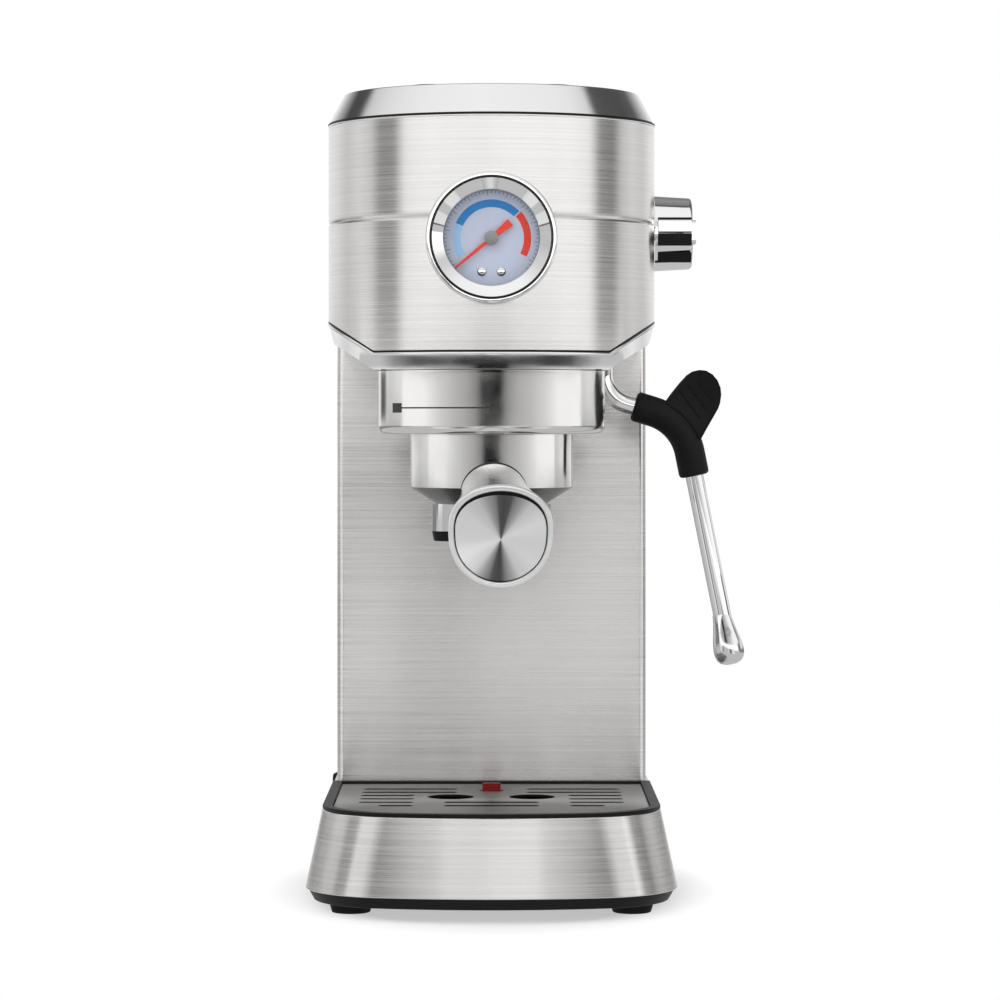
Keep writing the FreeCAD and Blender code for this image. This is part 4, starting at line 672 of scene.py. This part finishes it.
def build_paddle(wand_y):
    """Make the thumb paddle on the wand's grip, dished in front, with three ribs."""
    outline = [(71.6, 200.7), (74.0, 204.0), (77.0, 207.7), (80.0, 211.0), (82.4, 212.6), (85.1, 213.2),
               (87.8, 212.9), (90.5, 211.3), (92.5, 208.9), (93.7, 205.9), (94.0, 203.1), (93.5, 199.5),
               (92.6, 197.1), (90.2, 192.9), (87.8, 188.7), (86.0, 185.4), (83.5, 182.0), (79.0, 186.0),
               (74.5, 191.5), (69.5, 196.0)]
    bm = bmesh.new()
    half = 4.0
    face = bm.faces.new([bm.verts.new(at(x, wand_y + half, z)) for x, z in outline])
    solid = bmesh.ops.extrude_face_region(bm, geom=[face])["geom"]
    moved = [item for item in solid if isinstance(item, bmesh.types.BMVert)]
    bmesh.ops.translate(bm, vec=FRONT * 2 * half * MM, verts=moved)
    bmesh.ops.recalc_face_normals(bm, faces=bm.faces)
    front = min(bm.faces, key=lambda f: f.calc_center_median().y)
    bmesh.ops.inset_region(bm, faces=[front], thickness=1.1 * MM, depth=-0.7 * MM)
    finish("grip_paddle", bm, "grip", "wand", bevel_mm=0.5, degrees=40)
    rib_y, rib_radius = wand_y - 3.3, 0.45
    for name, start, end in (
        ("low", (77.3, 204.6), (85.2, 193.8)),
        ("middle", (80.9, 206.7), (88.0, 197.3)),
        ("high", (84.9, 208.4), (90.7, 200.9)),
    ):
        bm = sweep([at(x, rib_y, z) for x, z in (start, end)], [rib_radius] * 2, 12)
        finish(f"paddle_rib_{name}", bm, "grip", "wand")


def build_steam(edge_mm):
    """Make the steam side: the knob, the swivelling wand and its grip."""
    build_knob()
    dress("wand_socket", "chrome", edge_mm)
    wand_y, bend, pipe_radius, grip_radius = 26.0, 22.0, 3.7, 6.2
    corners = [at(46, wand_y, 222), at(46, wand_y, 201.6), at(78.7, wand_y, 192.3), at(95.5, wand_y, 108.2)]
    path = bent(corners, (13.0, bend))
    bm = sweep(path, [pipe_radius] * len(path))
    finish("wand_pipe", bm, "chrome", "wand", ("wand_tube",), degrees=60)
    path = bent([at(58.4, wand_y, 198.5), corners[2], at(83.2, wand_y, 169.8)], (bend,))
    bm = sweep(*soft_ends(path, grip_radius, 1.6))
    finish("grip_sleeve", bm, "grip", "wand", ("wand_grip",), degrees=50)
    build_paddle(wand_y)
    lean = (corners[2] - corners[3]).normalized()
    bell = [(0.0, 0.0), (2.4, 0.1), (4.3, 0.9), (5.6, 2.4), (6.2, 4.6), (6.2, 7.0), (5.8, 10.0), (5.0, 13.5),
            (4.3, 17.0), (3.9, 19.6), (3.75, 21.0), (0.0, 21.0)]
    bm = turned(bell, at(98.4, wand_y, 92.6), lean, -FRONT, 64)
    finish("steam_tip", bm, "bright", "wand", ("wand_tip",), degrees=50)


def build_base(edge_mm):
    """Make the base: feet, floor, skirt, tray, grate with painted shade on its slot walls, and float."""
    for node, finish_name in (
        ("base_plate", "black"), ("rubber_feet", "rubber"), ("base_skirt", "brushed"), ("tank_dock", "black"),
        ("cord_gland", "black"), ("drip_tray", "black"), ("drip_grate", "grate"), ("tray_float", "red"),
    ):
        dress(node, finish_name, edge_mm)
    # Painted shade: the grate's slot walls take the black plastic, standing in for the shade deep in the
    # slots
    grate = bpy.data.objects["drip_grate_look"].data
    grate.materials.append(FINISHES["black"])
    half_width, half_depth = 57.0, 50.0
    for face in grate.polygons:
        place = (face.center - at(0, 0, 0)) / MM
        inside = abs(place.x) < half_width and abs(place.y) < half_depth
        if inside and abs(face.normal.z) < 0.5:
            face.material_index = 1


def build_body(edge_mm):
    """Make the column, the back, the top buttons and the water tank."""
    for node, finish_name in (
        ("column_panel", "brushed"), ("back_panel", "black"), ("button_single", "satin"),
        ("button_double", "satin"), ("button_steam", "satin"), ("tank_lid", "black"), ("tank_valve", "black"),
        ("lid_pin", "satin"),
    ):
        dress(node, finish_name, edge_mm)
    dress("water_tank", "tank")


def stand(name, bm, material):
    """Stand a piece of the stage in the scene."""
    mesh = bpy.data.meshes.new(name)
    bm.to_mesh(mesh)
    bm.free()
    mesh.materials.append(material)
    thing = bpy.data.objects.new(name, mesh)
    bpy.context.scene.collection.objects.link(thing)
    return thing


def card(name, bm, glow):
    """Make a stage card that only reflections see, from a bmesh and a shader."""
    material = bpy.data.materials.new(name)
    material.use_nodes = True
    tree = material.node_tree
    tree.nodes.clear()
    out = add(tree, "ShaderNodeOutputMaterial")
    tree.links.new(glow(tree), out.inputs["Surface"])
    sheet = stand(name, bm, material)
    sheet.visible_camera = False
    sheet.visible_diffuse = False
    sheet.visible_shadow = False


def even(level):
    """Give a card an even grey glow."""
    return lambda tree: add(tree, "ShaderNodeEmission", {"Strength": level}).outputs[0]


def faded(stops):
    """Give a card a glow that changes with the angle from the front, seen from the brew axis."""
    def glow(tree):
        place = add(tree, "ShaderNodeTexCoord").outputs["Object"]
        arm = add(tree, "ShaderNodeVectorMath", {0: place, 1: at(0, 0, 0)}, operation="SUBTRACT").outputs[0]
        tone = tone_ramp(tree, front_angle(tree, arm), stops)
        return add(tree, "ShaderNodeEmission", {"Color": tone, "Strength": 1.2}).outputs[0]
    return glow


def round_card(name, radius, start, end, low, high, glow):
    """Stand a card round the brew axis, from degrees right of the front and millimetres."""
    bm = bmesh.new()
    strip(bm, radius, start, end, low, high)
    card(name, bm, glow)


def flat_card(name, start, end, level):
    """Stand a flat card between two opposite corners."""
    bm = bmesh.new()
    foot = bm.edges.new([bm.verts.new(place) for place in (start, (end.x, end.y, start.z))])
    made = bmesh.ops.extrude_edge_only(bm, edges=[foot])["geom"]
    top = [item for item in made if isinstance(item, bmesh.types.BMVert)]
    bmesh.ops.translate(bm, vec=UP * (end.z - start.z), verts=top)
    card(name, bm, even(level))


def build_cards():
    """Stand the cards that bright metal mirrors: round the group and skirt, in front and behind."""
    near, far, ring_low, ring_top = 300.0, 1000.0, 160.0, 216.4
    round_card("group_card", near, -96, 96, ring_low, ring_top, faded((
        (0, 0.0), (8, 0.0), (14, 0.24), (24, 0.4), (37, 0.52), (50, 0.68), (66, 0.95), (96, 1.0))))
    round_card("collar_card", near, -96, 96, ring_top, 223.4, faded((
        (0, 0.0), (12, 0.01), (30, 0.03), (50, 0.06), (64, 0.25), (76, 0.5), (96, 0.5))))
    wide, part, before, grey_top = 700, -20, -950, 155
    flat_card("left_grey_card", at(-wide, before, 0), at(part, before, grey_top), 0.52)
    flat_card("right_grey_card", at(part, before, 0), at(wide, before, grey_top), 0.95)
    skirt_tones = ((0, 0.76), (12, 0.76), (17, 0.62), (23, 0.4), (28, 0.16), (33, 0.1), (39, 0.4), (45, 0.74),
                   (60, 0.8))
    for name, side in (("left", -1), ("right", 1)):
        round_card(f"{name}_skirt_card", near, side * 13, side * 60, 20, 110, faded(skirt_tones))
        round_card(f"{name}_far_card", far, side * 88, side * 160, 0, 145, even(0.25))
        flat_card(f"{name}_dark_card", at(side * 255, 195, 188), at(side * 184, 248, 216), 0.05)


def studio_world(level):
    """Light the studio from all round: bright in front, dark strips at the sides, darker high at the back."""
    world = bpy.data.worlds.new("studio")
    bpy.context.scene.world = world
    world.use_nodes = True
    tree = world.node_tree
    tree.nodes.clear()
    ray = add(tree, "ShaderNodeTexCoord").outputs["Generated"]
    height = add(tree, "ShaderNodeSeparateXYZ", {0: ray}).outputs[2]
    low = tone_ramp(tree, front_angle(tree, ray, 5.0), (
        (0, 1.0), (50, 1.0), (68, 0.85), (77, 0.1), (90, 0.1), (99, 0.5), (112, 0.62), (128, 0.5), (145, 0.6),
        (180, 0.55)))
    high = tone_ramp(tree, front_angle(tree, ray, -12.8), (
        (0, 0.72), (92, 0.68), (107, 0.62), (113, 0.07), (140, 0.08), (180, 0.2)))
    rise = ramp(tree, height, 0.0, 1.0, 0.2, 0.42)
    upper = ramp(tree, height, 0.7, 1.0, 0.5, 0.8)
    high = add(tree, "ShaderNodeVectorMath", {0: high, "Scale": upper}, operation="SCALE").outputs[0]
    tone = add(tree, "ShaderNodeMix", {0: rise, 6: low, 7: high}, data_type="RGBA").outputs[2]
    seen = add(tree, "ShaderNodeLightPath").outputs["Is Camera Ray"]
    glow = add(tree, "ShaderNodeBackground", {"Color": tone, "Strength": level}).outputs[0]
    plain = add(tree, "ShaderNodeBackground", {"Color": linear("#ffffff"), "Strength": 1.0}).outputs[0]
    both = add(tree, "ShaderNodeMixShader", {0: seen, 1: glow, 2: plain}).outputs[0]
    out = add(tree, "ShaderNodeOutputWorld")
    tree.links.new(both, out.inputs["Surface"])


def build_floor():
    """Lay a white floor that keeps the shadow near the base and is greyer where metal mirrors it."""
    material, tree, shader = start_material("white_floor", linear("#f4f4f4"), 0.0, 0.8)
    low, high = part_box("base_skirt")
    centre, half = (low + high) / 2, (high - low) / 2
    place = add(tree, "ShaderNodeTexCoord").outputs["Object"]
    foot = {0: place, 1: (centre.x, centre.y, 0)}
    arm = add(tree, "ShaderNodeVectorMath", foot, operation="SUBTRACT").outputs[0]
    arm = add(tree, "ShaderNodeVectorMath", {0: arm, 1: (half.x, half.y, 1)}, operation="DIVIDE").outputs[0]
    away = add(tree, "ShaderNodeVectorMath", {0: arm}, operation="LENGTH").outputs["Value"]
    rays = add(tree, "ShaderNodeLightPath").outputs
    lit = {0: rays["Is Camera Ray"], 1: ramp(tree, away, 0.5, 1.0, 1.0, 1.26)}
    share = add(tree, "ShaderNodeMath", lit, operation="MULTIPLY").outputs[0]
    glow = add(tree, "ShaderNodeEmission", {"Color": linear("#ffffff"), "Strength": 1.0}).outputs[0]
    both = add(tree, "ShaderNodeMixShader", {0: share, 1: shader.outputs[0], 2: glow}).outputs[0]
    dull = add(tree, "ShaderNodeEmission", {"Color": linear("#ffffff"), "Strength": 0.62}).outputs[0]
    both = add(tree, "ShaderNodeMixShader", {0: rays["Is Glossy Ray"], 1: both, 2: dull}).outputs[0]
    tree.links.new(both, tree.nodes["Material Output"].inputs["Surface"])
    bm = bmesh.new()
    bmesh.ops.create_grid(bm, x_segments=1, y_segments=1, size=6.0)
    stand("studio_floor", bm, material)


def build_lamp():
    """Hang the key lamp high at the front left, for diffuse light and the shadow alone."""
    lamp = bpy.data.lights.new("key", "AREA")
    lamp.energy = 8.0
    lamp.size = 1.2
    key = bpy.data.objects.new("key", lamp)
    bpy.context.scene.collection.objects.link(key)
    place, aim = Vector((-0.8, -1.0, 1.6)), Vector((0, 0, 0.15))
    turn = (aim - place).to_track_quat("-Z", "Y").to_matrix().to_4x4()
    key.matrix_world = Matrix.Translation(place) @ turn
    key.visible_glossy = False


def build_camera():
    """Set the camera level in front of the brew axis."""
    scene = bpy.context.scene
    lens = bpy.data.cameras.new("front")
    lens.lens = 131.5
    lens.sensor_width = 36.0
    lens.shift_x = 0.0085
    lens.shift_y = -0.08
    camera = bpy.data.objects.new("front", lens)
    scene.collection.objects.link(camera)
    camera.matrix_world = Matrix.Translation(at(0, -1471.5, 192.7)) @ Matrix.Rotation(math.pi / 2, 4, "X")
    scene.camera = camera


def build_stage(level):
    """Set the white studio: world, floor, cards, lamp and camera."""
    studio_world(level)
    build_floor()
    build_cards()
    build_lamp()
    build_camera()
    bpy.context.scene.view_settings.view_transform = "Standard"


def colour_property(name, description, hex_colour):
    """Give a colour that a user may change."""
    return bpy.props.FloatVectorProperty(
        name=name, description=description, subtype="COLOR", size=4, min=0.0, max=1.0,
        default=linear(hex_colour))


class EspressoLooks(bpy.types.PropertyGroup):
    """Settings of the machine's finish."""
    edge: bpy.props.FloatProperty(
        name="Edge", description="Rounding of pressed and moulded edges",
        default=0.0004, min=0.0, max=0.001, precision=4, subtype="DISTANCE", unit="LENGTH")
    streak: bpy.props.FloatProperty(
        name="Streak", description="Spacing of the streaks in brushed steel",
        default=0.00038, min=0.0001, max=0.002, precision=5, subtype="DISTANCE", unit="LENGTH")
    steel: colour_property("Steel", "Colour of the brushed sheet", "#ebe9e7")
    grip: colour_property("Grip", "Colour of the wand's grip", "#0a0a0a")
    float_tab: colour_property("Float", "Colour of the tray's float", "#820609")
    dial: colour_property("Dial", "Colour of the gauge's dial", "#c2cbe0")


class EspressoStudio(bpy.types.PropertyGroup):
    """Settings of the studio."""
    level: bpy.props.FloatProperty(
        name="Level", description="Brightness of the studio's surroundings", default=1.55, min=0.0, max=4.0)


class PieceOperator:
    """Shared running of a builder of pieces."""
    bl_options = {"REGISTER", "UNDO"}
    builder = None

    def execute(self, context):
        """Build the pieces with the scene's settings."""
        looks = context.scene.espresso_looks
        if not FINISHES:
            make_finishes(looks)
        type(self).builder(looks.edge / MM)
        return {"FINISHED"}


class ESPRESSO_OT_head(PieceOperator, bpy.types.Operator):
    """Make the head, its collar and its cover"""
    bl_idname = "espresso.head"
    bl_label = "Head"
    builder = staticmethod(build_head)


class ESPRESSO_OT_group(PieceOperator, bpy.types.Operator):
    """Make the brew group's trim and finish what lies inside"""
    bl_idname = "espresso.group"
    bl_label = "Group"
    builder = staticmethod(build_group)


class ESPRESSO_OT_holder(PieceOperator, bpy.types.Operator):
    """Make the filter holder and its handle"""
    bl_idname = "espresso.holder"
    bl_label = "Filter Holder"
    builder = staticmethod(build_holder)


class ESPRESSO_OT_gauge(PieceOperator, bpy.types.Operator):
    """Make the pressure gauge"""
    bl_idname = "espresso.gauge"
    bl_label = "Gauge"
    builder = staticmethod(build_gauge)


class ESPRESSO_OT_steam(PieceOperator, bpy.types.Operator):
    """Make the steam knob and wand"""
    bl_idname = "espresso.steam"
    bl_label = "Steam"
    builder = staticmethod(build_steam)


class ESPRESSO_OT_base(PieceOperator, bpy.types.Operator):
    """Make the base, tray and grate"""
    bl_idname = "espresso.base"
    bl_label = "Base"
    builder = staticmethod(build_base)


class ESPRESSO_OT_body(PieceOperator, bpy.types.Operator):
    """Make the column, buttons and tank"""
    bl_idname = "espresso.body"
    bl_label = "Body"
    builder = staticmethod(build_body)


class ESPRESSO_OT_stage(bpy.types.Operator):
    """Set the white studio and its camera"""
    bl_idname = "espresso.stage"
    bl_label = "Studio"
    bl_options = {"REGISTER", "UNDO"}

    def execute(self, context):
        """Build the studio with the scene's settings."""
        build_stage(context.scene.espresso_studio.level)
        return {"FINISHED"}


STEPS = ("head", "group", "holder", "gauge", "steam", "base", "body", "stage")


class ESPRESSO_PT_panel(bpy.types.Panel):
    """Settings and steps in the sidebar"""
    bl_idname = "ESPRESSO_PT_panel"
    bl_label = "Espresso Machine"
    bl_space_type = "VIEW_3D"
    bl_region_type = "UI"
    bl_category = "Espresso"

    def draw(self, context):
        """Show the settings and a button for each step."""
        for setting in ("edge", "streak", "steel", "grip", "float_tab", "dial"):
            self.layout.prop(context.scene.espresso_looks, setting)
        self.layout.prop(context.scene.espresso_studio, "level")
        for step in STEPS:
            self.layout.operator(f"espresso.{step}")


CLASSES = (
    EspressoLooks, EspressoStudio, ESPRESSO_OT_head, ESPRESSO_OT_group, ESPRESSO_OT_holder, ESPRESSO_OT_gauge,
    ESPRESSO_OT_steam, ESPRESSO_OT_base, ESPRESSO_OT_body, ESPRESSO_OT_stage, ESPRESSO_PT_panel,
)


def register():
    """Register the settings, operators and panel."""
    for item in CLASSES:
        bpy.utils.register_class(item)
    bpy.types.Scene.espresso_looks = bpy.props.PointerProperty(type=EspressoLooks)
    bpy.types.Scene.espresso_studio = bpy.props.PointerProperty(type=EspressoStudio)


def unregister():
    """Take everything registered away again."""
    del bpy.types.Scene.espresso_studio
    del bpy.types.Scene.espresso_looks
    for item in reversed(CLASSES):
        bpy.utils.unregister_class(item)


def main():
    """Dress the machine and set the studio."""
    register()
    for step in STEPS:
        getattr(bpy.ops.espresso, step)()


if __name__ == "__main__":
    main()
